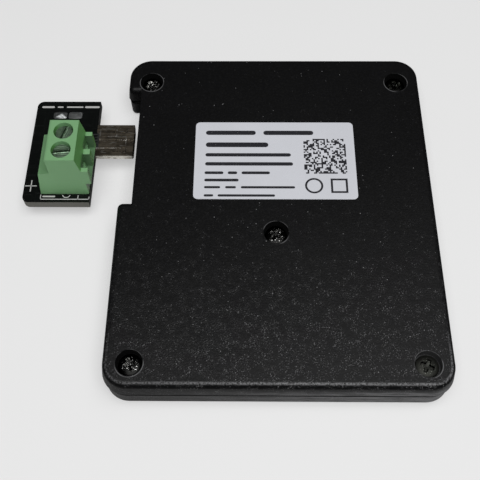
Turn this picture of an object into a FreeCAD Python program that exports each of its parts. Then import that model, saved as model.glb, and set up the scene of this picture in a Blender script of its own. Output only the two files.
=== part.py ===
"""Sensor beacon in a flat case, with a plug-in screw-terminal adapter beside it.

Millimetres. The origin is the middle of the case's front face, which lies on the table, and +Z points
out through the back cover. +X runs from the adapter towards the case, and +Y along the notched side.
"""
import FreeCAD, Part
import math
import os
import re

import Sketcher

os.makedirs("parts", exist_ok=True)
document = FreeCAD.newDocument("sensor_beacon")
sheet = document.addObject("Spreadsheet::Sheet", "sizes")

# Driving sizes
SIZES = {
    # Case
    "case_width": 54.0,
    "case_length": 64.4,
    "parting_height": 4.3,
    "corner_radius": 4.0,
    "side_wall": 1.2,
    "front_wall": 1.0,
    "cover_wall": 1.0,
    "lid_gap": 0.35,
    "front_round": 0.8,
    "cover_round": 1.0,
    "cover_draft": 0.4,
    "shell_step": 0.15,
    "parting_groove": 0.25,
    "tongue_wall": 0.5,
    "tongue_height": 0.6,
    "tongue_gap": 0.1,
    # Notch in the left side
    "notch_depth": 2.73,
    "notch_far_margin": 7.95,
    "notch_length": 24.0,
    "notch_mouth_round": 0.9,
    # Case screws
    "screw_side_margin": 4.5,
    "screw_near_margin": 4.1,
    "screw_far_margin": 5.9,
    "screw_middle_y": -5.5,
    "screw_head_diameter": 3.7,
    "screw_head_height": 1.0,
    "screw_head_rim": 0.45,
    "screw_head_crown": 2.4,
    "screw_diameter": 2.0,
    "screw_length": 3.9,
    "screw_hole_gap": 0.15,
    "thread_gap": 0.02,
    "cross_length": 2.3,
    "cross_width": 0.5,
    "cross_depth": 0.6,
    "counterbore_diameter": 4.2,
    "screw_seat_floor": 0.5,
    "cover_boss_diameter": 5.2,
    "shell_boss_diameter": 3.6,
    "pilot_spare": 0.3,
    # Label
    "label_width": 27.9,
    "label_length": 16.1,
    "label_thickness": 0.1,
    "label_margin": 23.35,
    "label_corner": 0.8,
    # Main board
    "board_standoff": 0.75,
    "board_thickness": 0.8,
    "board_gap": 0.3,
    "board_hole_gap": 0.3,
    "corner_cutout_gap": 0.6,
    "shoulder_width": 1.1,
    "rib_width": 1.2,
    "rib_length": 8.0,
    "rib_side_margin": 10.0,
    "rib_end_margin": 10.2,
    # Coin cell and its contacts
    "cell_diameter": 24.5,
    "cell_height": 3.0,
    "cell_x": 6.0,
    "cell_margin": 19.7,
    "cell_cap_diameter": 22.0,
    "cell_cap_height": 0.3,
    "cell_contact_diameter": 8.0,
    "cell_contact_thickness": 0.1,
    "clip_width": 8.0,
    "clip_thickness": 0.2,
    "clip_side_gap": 0.5,
    "clip_foot": 1.6,
    # Radio module
    "radio_x": -12.0,
    "radio_margin": 14.2,
    "radio_width": 12.5,
    "radio_length": 18.0,
    "radio_thickness": 0.6,
    "shield_width": 11.0,
    "shield_length": 12.0,
    "shield_height": 1.7,
    "shield_wall": 0.2,
    "radio_edge": 0.8,
    "radio_chip_width": 6.0,
    "radio_chip_height": 0.8,
    "antenna_width": 5.2,
    "antenna_length": 2.0,
    "antenna_height": 1.1,
    # Small parts on the main board
    "sensor_x": 14.0,
    "sensor_y": -6.5,
    "sensor_width": 3.0,
    "sensor_height": 0.9,
    "regulator_x": -14.0,
    "regulator_y": 4.0,
    "regulator_width": 2.9,
    "regulator_length": 1.6,
    "regulator_height": 1.1,
    "crystal_x": -1.5,
    "crystal_y": -16.0,
    "crystal_width": 3.2,
    "crystal_length": 1.5,
    "crystal_height": 0.8,
    "passive_x": -11.5,
    "passive_y": 9.0,
    "passive_pitch": 2.4,
    "passive_length": 1.6,
    "passive_width": 0.8,
    "passive_height": 0.5,
    # Button and light in the front face
    "button_x": 14.0,
    "button_margin": 15.2,
    "button_diameter": 5.8,
    "button_gap": 0.1,
    "button_recess": 0.1,
    "button_thickness": 0.8,
    "button_skirt": 0.6,
    "button_flange": 0.8,
    "button_flange_thickness": 0.3,
    "button_float": 0.05,
    "switch_width": 3.0,
    "switch_length": 2.6,
    "switch_height": 0.55,
    "stem_diameter": 1.4,
    "stem_height": 0.5,
    "stem_gap": 0.1,
    "stem_hole_depth": 0.45,
    "light_margin": 7.2,
    "light_diameter": 2.0,
    "light_head_diameter": 3.0,
    "light_gap": 0.03,
    "led_width": 1.6,
    "led_length": 0.8,
    "led_height": 0.6,
    # Plug and socket
    "plug_level": 3.5,
    "plug_width": 6.85,
    "plug_height": 1.8,
    "plug_side": 0.9,
    "plug_chamfer": 0.85,
    "plug_wall": 0.25,
    "plug_length": 6.8,
    "plug_tip_recess": 0.3,
    "plug_cavity_width": 4.2,
    "plug_cavity_height": 0.8,
    "plug_cavity_depth": 5.0,
    "plug_leg_length": 1.8,
    "plug_leg_width": 1.0,
    "plug_leg_thickness": 0.3,
    "latch_length": 2.2,
    "latch_width": 0.6,
    "latch_spacing": 4.3,
    "latch_setback": 1.3,
    "latch_rise": 0.06,
    "latch_gap": 0.1,
    "socket_gap": 0.1,
    "socket_wall": 0.25,
    "socket_length": 5.9,
    "socket_setback": 0.1,
    "socket_base": 0.5,
    "socket_tab_width": 0.8,
    "socket_tab_length": 1.2,
    "socket_tab_thickness": 0.3,
    "socket_cutout_gap": 0.2,
    "socket_mouth_gap": 0.2,
    "tongue_width": 3.7,
    "tongue_thickness": 0.4,
    "tongue_length": 4.3,
    "contact_pitch": 0.65,
    "contact_width": 0.3,
    "contact_thickness": 0.1,
    "contact_tail": 0.9,
    "contact_spacing": 0.05,
    # Adapter board
    "pull_out": 7.66,
    "seat_gap": 0.3,
    "adapter_end_gap": 0.25,
    "adapter_width": 11.7,
    "adapter_length": 22.1,
    "adapter_thickness": 1.6,
    "adapter_corner": 1.2,
    "plug_offset": 2.1,
    "pad_width": 2.5,
    "pad_length": 1.5,
    "pad_height": 0.15,
    "pad_mound": 0.5,
    "pad_spacing": 2.8,
    "pad_inset": 3.25,
    "pad_x": 7.2,
    # Screw terminal, set out from the adapter board's right edge and top
    "terminal_length": 8.2,
    "terminal_inset": 1.7,
    "terminal_height": 10.2,
    "pole_pitch": 3.81,
    "deck_near_edge": 0.77,
    "deck_far_edge": 5.65,
    "slope_foot": 0.25,
    "lip_height": 6.9,
    "lip_overhang": 0.85,
    "lip_bottom": 3.25,
    "front_setback": 0.1,
    "shelf_height": 6.1,
    "shelf_rise": 0.3,
    "shelf_edge": 7.6,
    "foot_edge": 8.5,
    "pole_setback": 3.15,
    "well_diameter": 3.3,
    "clamp_head_diameter": 3.0,
    "clamp_head_height": 0.85,
    "clamp_head_recess": 0.5,
    "clamp_slot_width": 0.5,
    "clamp_slot_depth": 0.45,
    "clamp_shank_diameter": 2.0,
    "clamp_shank_length": 2.65,
    "clamp_hole_gap": 0.15,
    "ledge_thickness": 0.4,
    "cage_width": 3.0,
    "cage_wall": 0.4,
    "cage_floor": 0.6,
    "cage_bottom": 3.2,
    "cage_height": 3.55,
    "cage_gap": 0.1,
    "cage_thread_gap": 0.05,
    "cavity_spare": 0.2,
    "bar_width": 1.8,
    "bar_thickness": 0.4,
    "bar_bottom": 5.7,
    "bar_far_edge": 6.45,
    "bar_near_edge": 1.95,
    "leg_thickness": 0.5,
    "pin_width": 0.9,
    "pin_length": 2.5,
    "pin_hole_diameter": 1.2,
    "solder_diameter": 2.2,
    "solder_height": 0.9,
    "wire_bore_diameter": 2.4,
    "wire_level": 4.8,
    "funnel_width": 2.7,
    "funnel_bottom": 3.55,
    "funnel_depth": 1.15,
}

for row, (alias, size) in enumerate(SIZES.items(), start=1):
    sheet.set(f"A{row}", alias.replace("_", " "))
    sheet.set(f"B{row}", str(size))
    sheet.setAlias(f"B{row}", alias)
document.recompute()

# Places that follow from the driving sizes, as expressions
HALF_WIDTH = "(case_width / 2)"
HALF_LENGTH = "(case_length / 2)"
BOARD_BOTTOM = "(front_wall + board_standoff)"
BOARD_TOP = f"({BOARD_BOTTOM} + board_thickness)"
CELL_BOTTOM = f"({BOARD_TOP} + cell_contact_thickness)"
CELL_TOP = f"({CELL_BOTTOM} + cell_height)"
CEILING = f"({CELL_TOP} + clip_thickness + lid_gap)"
CASE_HEIGHT = f"({CEILING} + cover_wall)"
ALL_THROUGH = f"(2 * {CASE_HEIGHT})"
NOTCH_WALL_X = "(notch_depth - case_width / 2)"
NOTCH_FAR_Y = "(case_length / 2 - notch_far_margin)"
NOTCH_NEAR_Y = f"({NOTCH_FAR_Y} - notch_length)"
BOSS_JOINT = "(parting_height + tongue_height + tongue_gap)"
SCREW_SEAT = f"({BOSS_JOINT} + screw_seat_floor)"
SCREW_X = "(case_width / 2 - screw_side_margin)"
SCREW_NEAR_Y = "(screw_near_margin - case_length / 2)"
SCREW_FAR_Y = "(case_length / 2 - screw_far_margin)"
SCREW_PLACES = [
    (f"(-{SCREW_X})", SCREW_NEAR_Y),
    (SCREW_X, SCREW_NEAR_Y),
    (f"(-{SCREW_X})", SCREW_FAR_Y),
    (SCREW_X, SCREW_FAR_Y),
    ("0", "screw_middle_y"),
]
LABEL_Y = "(case_length / 2 - label_margin)"
RIB_X = "(case_width / 2 - rib_side_margin)"
RIB_Y = "(case_length / 2 - rib_end_margin)"
CELL_Y = "(case_length / 2 - cell_margin)"
RADIO_Y = "(radio_margin - case_length / 2)"
BUTTON_Y = "(button_margin - case_length / 2)"
LIGHT_Y = "(light_margin - case_length / 2)"
ADAPTER_RIGHT = f"({NOTCH_WALL_X} - seat_gap - pull_out)"
ADAPTER_NEAR = f"({NOTCH_FAR_Y} - adapter_end_gap - adapter_length)"
ADAPTER_BOTTOM = "(plug_level - adapter_thickness / 2)"
ADAPTER_TOP = "(plug_level + adapter_thickness / 2)"
PLUG_Y = f"({ADAPTER_NEAR} + adapter_length / 2 + plug_offset)"
PLUG_TIP = f"({ADAPTER_RIGHT} + plug_length)"
SOCKET_FRONT = f"({NOTCH_WALL_X} + side_wall + socket_setback)"
SOCKET_BACK = f"({SOCKET_FRONT} + socket_length)"
SOCKET_TONGUE_TOP = "(plug_level + tongue_thickness / 2 - contact_spacing)"
TERMINAL_NEAR = f"({ADAPTER_NEAR} + terminal_inset)"
POLE_X = f"({ADAPTER_RIGHT} - pole_setback)"
PIN_X = f"({ADAPTER_RIGHT} - bar_far_edge + leg_thickness / 2)"
POLE_YS = {
    "near": f"({TERMINAL_NEAR} + (terminal_length - pole_pitch) / 2)",
    "far": f"({TERMINAL_NEAR} + (terminal_length + pole_pitch) / 2)",
}
CLAMP_HEAD_BOTTOM = f"({ADAPTER_TOP} + terminal_height - clamp_head_recess - clamp_head_height)"
CONTACT_COUNT = 5


# Helpers for expressions
def bound(text):
    """The expression with each size's name pointing into the sheet."""
    return re.sub(r"[a-z_]+", lambda word: f"sizes.{word[0]}" if word[0] in SIZES else word[0], text)


def bind(target, path, text):
    target.setExpression(path, bound(text))


def value(text):
    """The number that an expression gives now."""
    return float(sheet.evalExpression(bound(text)))


def place(target, x, y, z):
    for axis, text in zip("xyz", (x, y, z)):
        bind(target, f".Placement.Base.{axis}", text)


# Helpers for plain solids
def box(name, x, y, z, width, length, height):
    """A box from its lowest corner."""
    made = document.addObject("Part::Box", name)
    for path, text in (("Length", width), ("Width", length), ("Height", height)):
        bind(made, path, text)
    place(made, x, y, z)
    return made


def centred_box(name, x, y, z, width, length, height):
    """A box that stands on z, centred on x and y."""
    return box(name, f"{x} - ({width}) / 2", f"{y} - ({length}) / 2", z, width, length, height)


def rod(name, x, y, z, diameter, height):
    made = document.addObject("Part::Cylinder", name)
    bind(made, "Radius", f"({diameter}) / 2")
    bind(made, "Height", height)
    place(made, x, y, z)
    return made


def cone(name, x, y, z, bottom_diameter, top_diameter, height):
    made = document.addObject("Part::Cone", name)
    bind(made, "Radius1", f"({bottom_diameter}) / 2")
    bind(made, "Radius2", f"({top_diameter}) / 2")
    bind(made, "Height", height)
    place(made, x, y, z)
    return made


def fused(name, pieces):
    made = document.addObject("Part::MultiFuse", name)
    made.Shapes = pieces
    made.Refine = True
    return made


def cut(name, base, tool):
    made = document.addObject("Part::Cut", name)
    made.Base = base
    made.Tool = tool
    return made


def grouped(name, pieces):
    made = document.addObject("Part::Compound", name)
    made.Links = pieces
    return made


# Helpers for sketched solids
def new_body(name):
    return document.addObject("PartDesign::Body", name)


def new_sketch(body, name, role="XY_Plane", offset="0"):
    """A sketch on one of the body's origin planes, moved along the plane's normal."""
    plane = next(feature for feature in body.Origin.OriginFeatures if feature.Role == role)
    made = body.newObject("Sketcher::SketchObject", name)
    made.AttachmentSupport = [(plane, "")]
    made.MapMode = "FlatFace"
    bind(made, ".AttachmentOffset.Base.z", offset)
    return made


def pin_point(sketch, geometry, end, x, y):
    """Ties a point of the sketch to two distances from its origin."""
    for kind, text in (("DistanceX", x), ("DistanceY", y)):
        index = sketch.addConstraint(Sketcher.Constraint(kind, -1, 1, geometry, end, value(text)))
        bind(sketch, f"Constraints[{index}]", text)


def add_outline(sketch, corners):
    """A closed outline through the corners, turning left at each one that has a rounding radius.

    A corner is (x, y), or (x, y, radius) where two straight lines along the axes meet.
    """
    points = [FreeCAD.Vector(value(corner[0]), value(corner[1]), 0) for corner in corners]
    arrivals = []
    departures = []
    for index, corner in enumerate(corners):
        arrival = corner[:2]
        departure = corner[:2]
        if len(corner) == 3:
            inward = (points[index] - points[index - 1]).normalize()
            outward = (points[(index + 1) % len(points)] - points[index]).normalize()
            arrival = [f"{corner[k]} - ({inward[k]:.0f}) * {corner[2]}" for k in (0, 1)]
            departure = [f"{corner[k]} + ({outward[k]:.0f}) * {corner[2]}" for k in (0, 1)]
        arrivals.append(arrival)
        departures.append(departure)
    lines = []
    for start, end in zip(departures, arrivals[1:] + arrivals[:1]):
        ends = [FreeCAD.Vector(value(x), value(y), 0) for x, y in (start, end)]
        lines.append(sketch.addGeometry(Part.LineSegment(*ends)))
    for index, corner in enumerate(corners):
        line_in = lines[index - 1]
        line_out = lines[index]
        pin_point(sketch, line_out, 1, *departures[index])
        if len(corner) == 2:
            sketch.addConstraint(Sketcher.Constraint("Coincident", line_in, 2, line_out, 1))
            continue
        pin_point(sketch, line_in, 2, *arrivals[index])
        add_corner_arc(sketch, line_in, line_out, corner[2])


def add_corner_arc(sketch, line_in, line_out, radius):
    """The arc that joins two lines of a left turn."""
    start = sketch.getPoint(line_in, 2)
    end = sketch.getPoint(line_out, 1)
    along = sketch.Geometry[line_out]
    centre = start + (along.EndPoint - along.StartPoint).normalize() * value(radius)
    first, last = (math.atan2(point.y - centre.y, point.x - centre.x) for point in (start, end))
    circle = Part.Circle(centre, FreeCAD.Vector(0, 0, 1), value(radius))
    arc = sketch.addGeometry(Part.ArcOfCircle(circle, first, last))
    sketch.addConstraint(Sketcher.Constraint("Coincident", line_in, 2, arc, 1))
    sketch.addConstraint(Sketcher.Constraint("Coincident", arc, 2, line_out, 1))
    index = sketch.addConstraint(Sketcher.Constraint("Radius", arc, value(radius)))
    bind(sketch, f"Constraints[{index}]", radius)


def add_rectangle(sketch, left, near, right, far):
    add_outline(sketch, [(left, near), (right, near), (right, far), (left, far)])


def add_circle(sketch, x, y, diameter):
    centre = FreeCAD.Vector(value(x), value(y), 0)
    circle = Part.Circle(centre, FreeCAD.Vector(0, 0, 1), value(diameter) / 2)
    geometry = sketch.addGeometry(circle)
    pin_point(sketch, geometry, 3, x, y)
    index = sketch.addConstraint(Sketcher.Constraint("Diameter", geometry, value(diameter)))
    bind(sketch, f"Constraints[{index}]", diameter)


def add_circles(sketch, places, diameter):
    for x, y in places:
        add_circle(sketch, x, y, diameter)


def pad(body, name, sketch, length, taper=None):
    made = body.newObject("PartDesign::Pad", name)
    made.Profile = sketch
    bind(made, "Length", length)
    if taper:
        bind(made, "TaperAngle", taper)
    document.recompute()
    return made


def pocket(body, name, sketch, length):
    """A cut from the sketch along its plane's normal, which has to take something away."""
    before = body.Shape.Volume
    made = body.newObject("PartDesign::Pocket", name)
    made.Profile = sketch
    made.Reversed = True
    bind(made, "Length", length)
    document.recompute()
    if not body.Shape.Volume < before:
        raise RuntimeError(f"{name} cuts nothing")
    return made


def rounded(body, name, is_wanted, radius):
    """Rounds the edges of the body's last feature that a test picks."""
    base = body.Tip
    edges = enumerate(base.Shape.Edges, start=1)
    names = [f"Edge{number}" for number, edge in edges if is_wanted(edge)]
    if not names:
        raise RuntimeError(f"{name} finds no edge")
    made = body.newObject("PartDesign::Fillet", name)
    made.Base = (base, names)
    bind(made, "Radius", radius)
    document.recompute()
    return made


# Tests that pick edges
NEARLY = 0.001


def is_upright(edge):
    """True for an edge that climbs, with a slight slant at most."""
    bounds = edge.BoundBox
    return bounds.ZLength > 10 * NEARLY and max(bounds.XLength, bounds.YLength) < bounds.ZLength / 2


def is_level_at(edge, height):
    bounds = edge.BoundBox
    return bounds.ZLength < NEARLY and abs(bounds.ZMin - height) < NEARLY


# Outlines shared by the case's halves and the main board
def notched_outline(inset, corner=None):
    """The case's outline, drawn in by an inset that also goes round the notch.

    A corner radius rounds the four corners of the case, but not the notch's.
    """
    left = f"(-{HALF_WIDTH} + {inset})"
    right = f"({HALF_WIDTH} - {inset})"
    near = f"(-{HALF_LENGTH} + {inset})"
    far = f"({HALF_LENGTH} - {inset})"
    wall = f"({NOTCH_WALL_X} + {inset})"
    notch_near = f"({NOTCH_NEAR_Y} - {inset})"
    notch_far = f"({NOTCH_FAR_Y} + {inset})"
    outer = [(left, near), (right, near), (right, far), (left, far)]
    if corner:
        outer = [(x, y, corner) for x, y in outer]
    return outer + [(left, notch_far), (wall, notch_far), (wall, notch_near), (left, notch_near)]


def add_notch_cut(body, prefix):
    sketch = new_sketch(body, f"{prefix}_notch_sketch", offset=f"-{CASE_HEIGHT}")
    add_rectangle(sketch, "-case_width", NOTCH_NEAR_Y, NOTCH_WALL_X, NOTCH_FAR_Y)
    pocket(body, f"{prefix}_notch", sketch, ALL_THROUGH)


def round_notch_mouth(body, name):
    """Rounds the two upright edges where the notch meets the side."""
    notch_ends = (value(NOTCH_NEAR_Y), value(NOTCH_FAR_Y))
    wall_x = value(NOTCH_WALL_X)

    def is_mouth(edge):
        middle = edge.CenterOfMass
        at_end = any(abs(middle.y - end) < NEARLY for end in notch_ends)
        return is_upright(edge) and at_end and middle.x < wall_x - NEARLY

    rounded(body, name, is_mouth, "notch_mouth_round")


def add_plug_opening(body, prefix, floor, height):
    """The opening in the notch's wall that the plug goes through."""
    sketch = new_sketch(body, f"{prefix}_plug_opening_sketch", offset=floor)
    half = "(plug_width / 2 + socket_mouth_gap)"
    add_rectangle(sketch, f"{NOTCH_WALL_X} - side_wall", f"{PLUG_Y} - {half}",
                  f"{NOTCH_WALL_X} + 1.5 * side_wall", f"{PLUG_Y} + {half}")
    pocket(body, f"{prefix}_plug_opening", sketch, height)


# Front shell
def make_front_shell():
    body = new_body("front_shell")
    base = new_sketch(body, "shell_base_sketch")
    side = f"({HALF_WIDTH} - shell_step)"
    end = f"({HALF_LENGTH} - shell_step)"
    add_rectangle(base, f"-{side}", f"-{end}", side, end)
    pad(body, "shell_base", base, "parting_height - parting_groove")
    rounded(body, "shell_corners", is_upright, "corner_radius - shell_step")
    rounded(body, "shell_front_round", lambda edge: is_level_at(edge, 0), "front_round")
    add_notch_cut(body, "shell")
    round_notch_mouth(body, "shell_notch_mouth")

    tongue_inset = "(side_wall - tongue_wall)"
    tongue = new_sketch(body, "shell_tongue_sketch", offset="parting_height - parting_groove")
    add_outline(tongue, notched_outline(tongue_inset, f"(corner_radius - {tongue_inset})"))
    pad(body, "shell_tongue", tongue, "parting_groove + tongue_height")
    cavity = new_sketch(body, "shell_cavity_sketch", offset="front_wall")
    add_outline(cavity, notched_outline("side_wall", "(corner_radius - side_wall)"))
    pocket(body, "shell_cavity", cavity, ALL_THROUGH)

    bosses = new_sketch(body, "shell_bosses_sketch", offset="front_wall")
    add_circles(bosses, SCREW_PLACES, "shell_boss_diameter")
    pad(body, "shell_bosses", bosses, f"{BOSS_JOINT} - front_wall")
    shoulder = new_sketch(body, "shell_shoulder_sketch", offset="front_wall")
    add_circle(shoulder, "0", "screw_middle_y", "shell_boss_diameter + 2 * shoulder_width")
    pad(body, "shell_shoulder", shoulder, "board_standoff")

    ribs = new_sketch(body, "shell_ribs_sketch", offset="front_wall")
    for side_sign in ("-", ""):
        for end_sign in ("-", ""):
            x = f"({side_sign}{RIB_X})"
            y = f"({end_sign}{RIB_Y})"
            add_rectangle(ribs, f"{x} - rib_length / 2", f"{y} - rib_width / 2",
                          f"{x} + rib_length / 2", f"{y} + rib_width / 2")
    pad(body, "shell_ribs", ribs, "board_standoff")

    pilots = new_sketch(body, "shell_pilots_sketch", offset=f"{SCREW_SEAT} - screw_length - pilot_spare")
    add_circles(pilots, SCREW_PLACES, "screw_diameter + 2 * thread_gap")
    pocket(body, "shell_pilots", pilots, ALL_THROUGH)
    holes = new_sketch(body, "shell_front_holes_sketch", offset="-front_wall")
    add_circle(holes, "button_x", BUTTON_Y, "button_diameter + 2 * button_gap")
    add_circle(holes, "button_x", LIGHT_Y, "light_diameter")
    pocket(body, "shell_front_holes", holes, "2 * front_wall")
    add_plug_opening(body, "shell", "plug_level - plug_height / 2 - socket_mouth_gap", ALL_THROUGH)
    return body


# Back cover
def make_back_cover():
    body = new_body("back_cover")
    base = new_sketch(body, "cover_base_sketch", offset="parting_height")
    add_rectangle(base, f"-{HALF_WIDTH}", f"-{HALF_LENGTH}", HALF_WIDTH, HALF_LENGTH)
    pad(body, "cover_base", base, f"{CASE_HEIGHT} - parting_height",
        taper=f"-atan(cover_draft / ({CASE_HEIGHT} - parting_height))")
    rounded(body, "cover_corners", is_upright, "corner_radius")
    top = value(CASE_HEIGHT)
    rounded(body, "cover_top_round", lambda edge: is_level_at(edge, top), "cover_round")
    add_notch_cut(body, "cover")
    round_notch_mouth(body, "cover_notch_mouth")

    rebate_inset = "(side_wall - tongue_wall - tongue_gap)"
    rebate = new_sketch(body, "cover_rebate_sketch", offset="parting_height")
    add_outline(rebate, notched_outline(rebate_inset, f"(corner_radius - {rebate_inset})"))
    pocket(body, "cover_rebate", rebate, "tongue_height + tongue_gap")
    cavity = new_sketch(body, "cover_cavity_sketch", offset="parting_height")
    add_outline(cavity, notched_outline("side_wall", "(corner_radius - side_wall)"))
    pocket(body, "cover_cavity", cavity, f"{CEILING} - parting_height")

    bosses = new_sketch(body, "cover_bosses_sketch", offset=BOSS_JOINT)
    add_circles(bosses, SCREW_PLACES, "cover_boss_diameter")
    pad(body, "cover_bosses", bosses, f"{CEILING} - {BOSS_JOINT}")
    counterbores = new_sketch(body, "cover_counterbores_sketch", offset=SCREW_SEAT)
    add_circles(counterbores, SCREW_PLACES, "counterbore_diameter")
    pocket(body, "cover_counterbores", counterbores, ALL_THROUGH)
    holes = new_sketch(body, "cover_holes_sketch")
    add_circles(holes, SCREW_PLACES, "screw_diameter + 2 * screw_hole_gap")
    pocket(body, "cover_holes", holes, ALL_THROUGH)
    add_plug_opening(body, "cover", "0", "plug_level + plug_height / 2 + socket_mouth_gap")
    return body


# Case screws
def make_case_screw(number, x, y):
    name = f"case_screw_{number}"
    cone_bottom = f"{SCREW_SEAT} + screw_head_rim"
    head_top = f"{SCREW_SEAT} + screw_head_height"
    solid = fused(f"{name}_blank", [
        rod(f"{name}_shank", x, y, f"{SCREW_SEAT} - screw_length", "screw_diameter", "screw_length"),
        rod(f"{name}_rim", x, y, SCREW_SEAT, "screw_head_diameter", "screw_head_rim"),
        cone(f"{name}_crown", x, y, cone_bottom, "screw_head_diameter", "screw_head_crown",
             "screw_head_height - screw_head_rim"),
    ])
    cross = fused(f"{name}_cross", [
        centred_box(f"{name}_cross_x", x, y, f"{head_top} - cross_depth",
                    "cross_length", "cross_width", "2 * cross_depth"),
        centred_box(f"{name}_cross_y", x, y, f"{head_top} - cross_depth",
                    "cross_width", "cross_length", "2 * cross_depth"),
    ])
    return cut(name, solid, cross)


def make_case_screws():
    screws = [make_case_screw(number, x, y) for number, (x, y) in enumerate(SCREW_PLACES, start=1)]
    return grouped("case_screws", screws)


# Label
def make_back_label():
    body = new_body("back_label")
    outline = new_sketch(body, "label_sketch", offset=CASE_HEIGHT)
    add_rectangle(outline, "-label_width / 2", f"{LABEL_Y} - label_length / 2",
                  "label_width / 2", f"{LABEL_Y} + label_length / 2")
    pad(body, "label_sheet", outline, "label_thickness")
    rounded(body, "label_corners", is_upright, "label_corner")
    return body


# Main board and what stands on it
def make_main_board():
    body = new_body("main_board")
    outline = new_sketch(body, "board_sketch", offset=BOARD_BOTTOM)
    add_outline(outline, notched_outline("(side_wall + board_gap)"))
    pad(body, "board_sheet", outline, "board_thickness")

    cutouts = new_sketch(body, "board_cutouts_sketch", offset=f"{BOARD_BOTTOM} - board_thickness")
    reach = "(cover_boss_diameter / 2 + corner_cutout_gap)"
    for side_sign in ("-", ""):
        inner_x = f"{side_sign}({SCREW_X} - {reach})"
        outer_x = f"{side_sign}case_width"
        for inner_y, outer_y in ((f"({SCREW_NEAR_Y} + {reach})", "-case_length"),
                                 (f"({SCREW_FAR_Y} - {reach})", "case_length")):
            add_rectangle(cutouts, inner_x, inner_y, outer_x, outer_y)
    socket_half = "(plug_width / 2 + socket_gap + socket_wall + socket_cutout_gap)"
    add_rectangle(cutouts, f"{NOTCH_WALL_X}", f"{PLUG_Y} - {socket_half}",
                  f"{SOCKET_BACK} + contact_thickness / 2", f"{PLUG_Y} + {socket_half}")
    add_circle(cutouts, "0", "screw_middle_y", "shell_boss_diameter + 2 * board_hole_gap")
    pocket(body, "board_cutouts", cutouts, "3 * board_thickness")
    return body


def make_coin_cell():
    return fused("coin_cell", [
        rod("cell_cap", "cell_x", CELL_Y, CELL_BOTTOM, "cell_cap_diameter", "cell_cap_height"),
        rod("cell_can", "cell_x", CELL_Y, f"{CELL_BOTTOM} + cell_cap_height",
            "cell_diameter", "cell_height - cell_cap_height"),
    ])


def make_cell_clip():
    """A strap over the cell, with a leg and a foot at each end."""
    reach = "(cell_diameter / 2 + clip_side_gap)"
    leg_height = f"({CELL_TOP} + clip_thickness - {BOARD_TOP})"
    pieces = [centred_box("clip_strap", "cell_x", CELL_Y, CELL_TOP,
                          "clip_width", f"2 * {reach}", "clip_thickness")]
    for end, sign in (("near", "-"), ("far", "+")):
        leg_y = f"({CELL_Y} {sign} ({reach} + clip_thickness / 2))"
        foot_y = f"({CELL_Y} {sign} ({reach} + clip_foot / 2))"
        pieces.append(centred_box(f"clip_leg_{end}", "cell_x", leg_y, BOARD_TOP,
                                  "clip_width", "clip_thickness", leg_height))
        pieces.append(centred_box(f"clip_foot_{end}", "cell_x", foot_y, BOARD_TOP,
                                  "clip_width", "clip_foot", "clip_thickness"))
    return fused("cell_clip", pieces)


def make_cell_contact():
    return rod("cell_contact", "cell_x", CELL_Y, BOARD_TOP,
               "cell_contact_diameter", "cell_contact_thickness")


def make_radio_module():
    top = f"({BOARD_TOP} + radio_thickness)"
    shield_y = f"({RADIO_Y} - radio_length / 2 + radio_edge + shield_length / 2)"
    antenna_y = f"({RADIO_Y} + radio_length / 2 - radio_edge - antenna_length / 2)"
    centred_box("radio_board", "radio_x", RADIO_Y, BOARD_TOP,
                "radio_width", "radio_length", "radio_thickness")
    centred_box("radio_chip", "radio_x", shield_y, top,
                "radio_chip_width", "radio_chip_width", "radio_chip_height")
    centred_box("radio_antenna", "radio_x", antenna_y, top,
                "antenna_width", "antenna_length", "antenna_height")
    can = centred_box("shield_can", "radio_x", shield_y, top,
                      "shield_width", "shield_length", "shield_height")
    hollow = centred_box("shield_hollow", "radio_x", shield_y, top, "shield_width - 2 * shield_wall",
                         "shield_length - 2 * shield_wall", "shield_height - shield_wall")
    cut("radio_shield", can, hollow)
    return ["radio_board", "radio_chip", "radio_antenna", "radio_shield"]


def make_board_parts():
    centred_box("sensor_chip", "sensor_x", "sensor_y", BOARD_TOP,
                "sensor_width", "sensor_width", "sensor_height")
    centred_box("regulator", "regulator_x", "regulator_y", BOARD_TOP,
                "regulator_width", "regulator_length", "regulator_height")
    centred_box("crystal", "crystal_x", "crystal_y", BOARD_TOP,
                "crystal_width", "crystal_length", "crystal_height")
    passives = []
    for column in range(2):
        for row in range(5):
            x = f"(passive_x + {column} * passive_pitch)"
            y = f"(passive_y + {row} * passive_pitch)"
            passives.append(centred_box(f"passive_{column}_{row}", x, y, BOARD_TOP,
                                        "passive_length", "passive_width", "passive_height"))
    grouped("board_passives", passives)
    return ["sensor_chip", "regulator", "crystal", "board_passives"]


# Button, switch and light
def make_front_button():
    body = new_body("front_button")
    cap = new_sketch(body, "button_cap_sketch", offset="button_recess")
    add_circle(cap, "button_x", BUTTON_Y, "button_diameter")
    flange_bottom = "(front_wall + button_float)"
    flange_top = f"({flange_bottom} + button_flange_thickness)"
    pad(body, "button_cap", cap, f"{flange_top} - button_recess")
    flange = new_sketch(body, "button_flange_sketch", offset=flange_bottom)
    add_circle(flange, "button_x", BUTTON_Y, "button_diameter + 2 * button_flange")
    pad(body, "button_flange_ring", flange, "button_flange_thickness")
    hollow = new_sketch(body, "button_hollow_sketch", offset="button_recess + button_thickness")
    add_circle(hollow, "button_x", BUTTON_Y, "button_diameter - 2 * button_skirt")
    pocket(body, "button_hollow", hollow, ALL_THROUGH)
    return body


def make_switch():
    bottom = f"({BOARD_BOTTOM} - switch_height)"
    case = centred_box("switch_case", "button_x", BUTTON_Y, bottom,
                       "switch_width", "switch_length", "switch_height")
    hole = rod("switch_hole", "button_x", BUTTON_Y, f"{bottom} - switch_height",
               "stem_diameter + 2 * stem_gap", "switch_height + stem_hole_depth")
    cut("tact_switch", case, hole)
    rod("switch_stem", "button_x", BUTTON_Y, "button_recess + button_thickness",
        "stem_diameter", "stem_height")
    return ["tact_switch", "switch_stem"]


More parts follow.
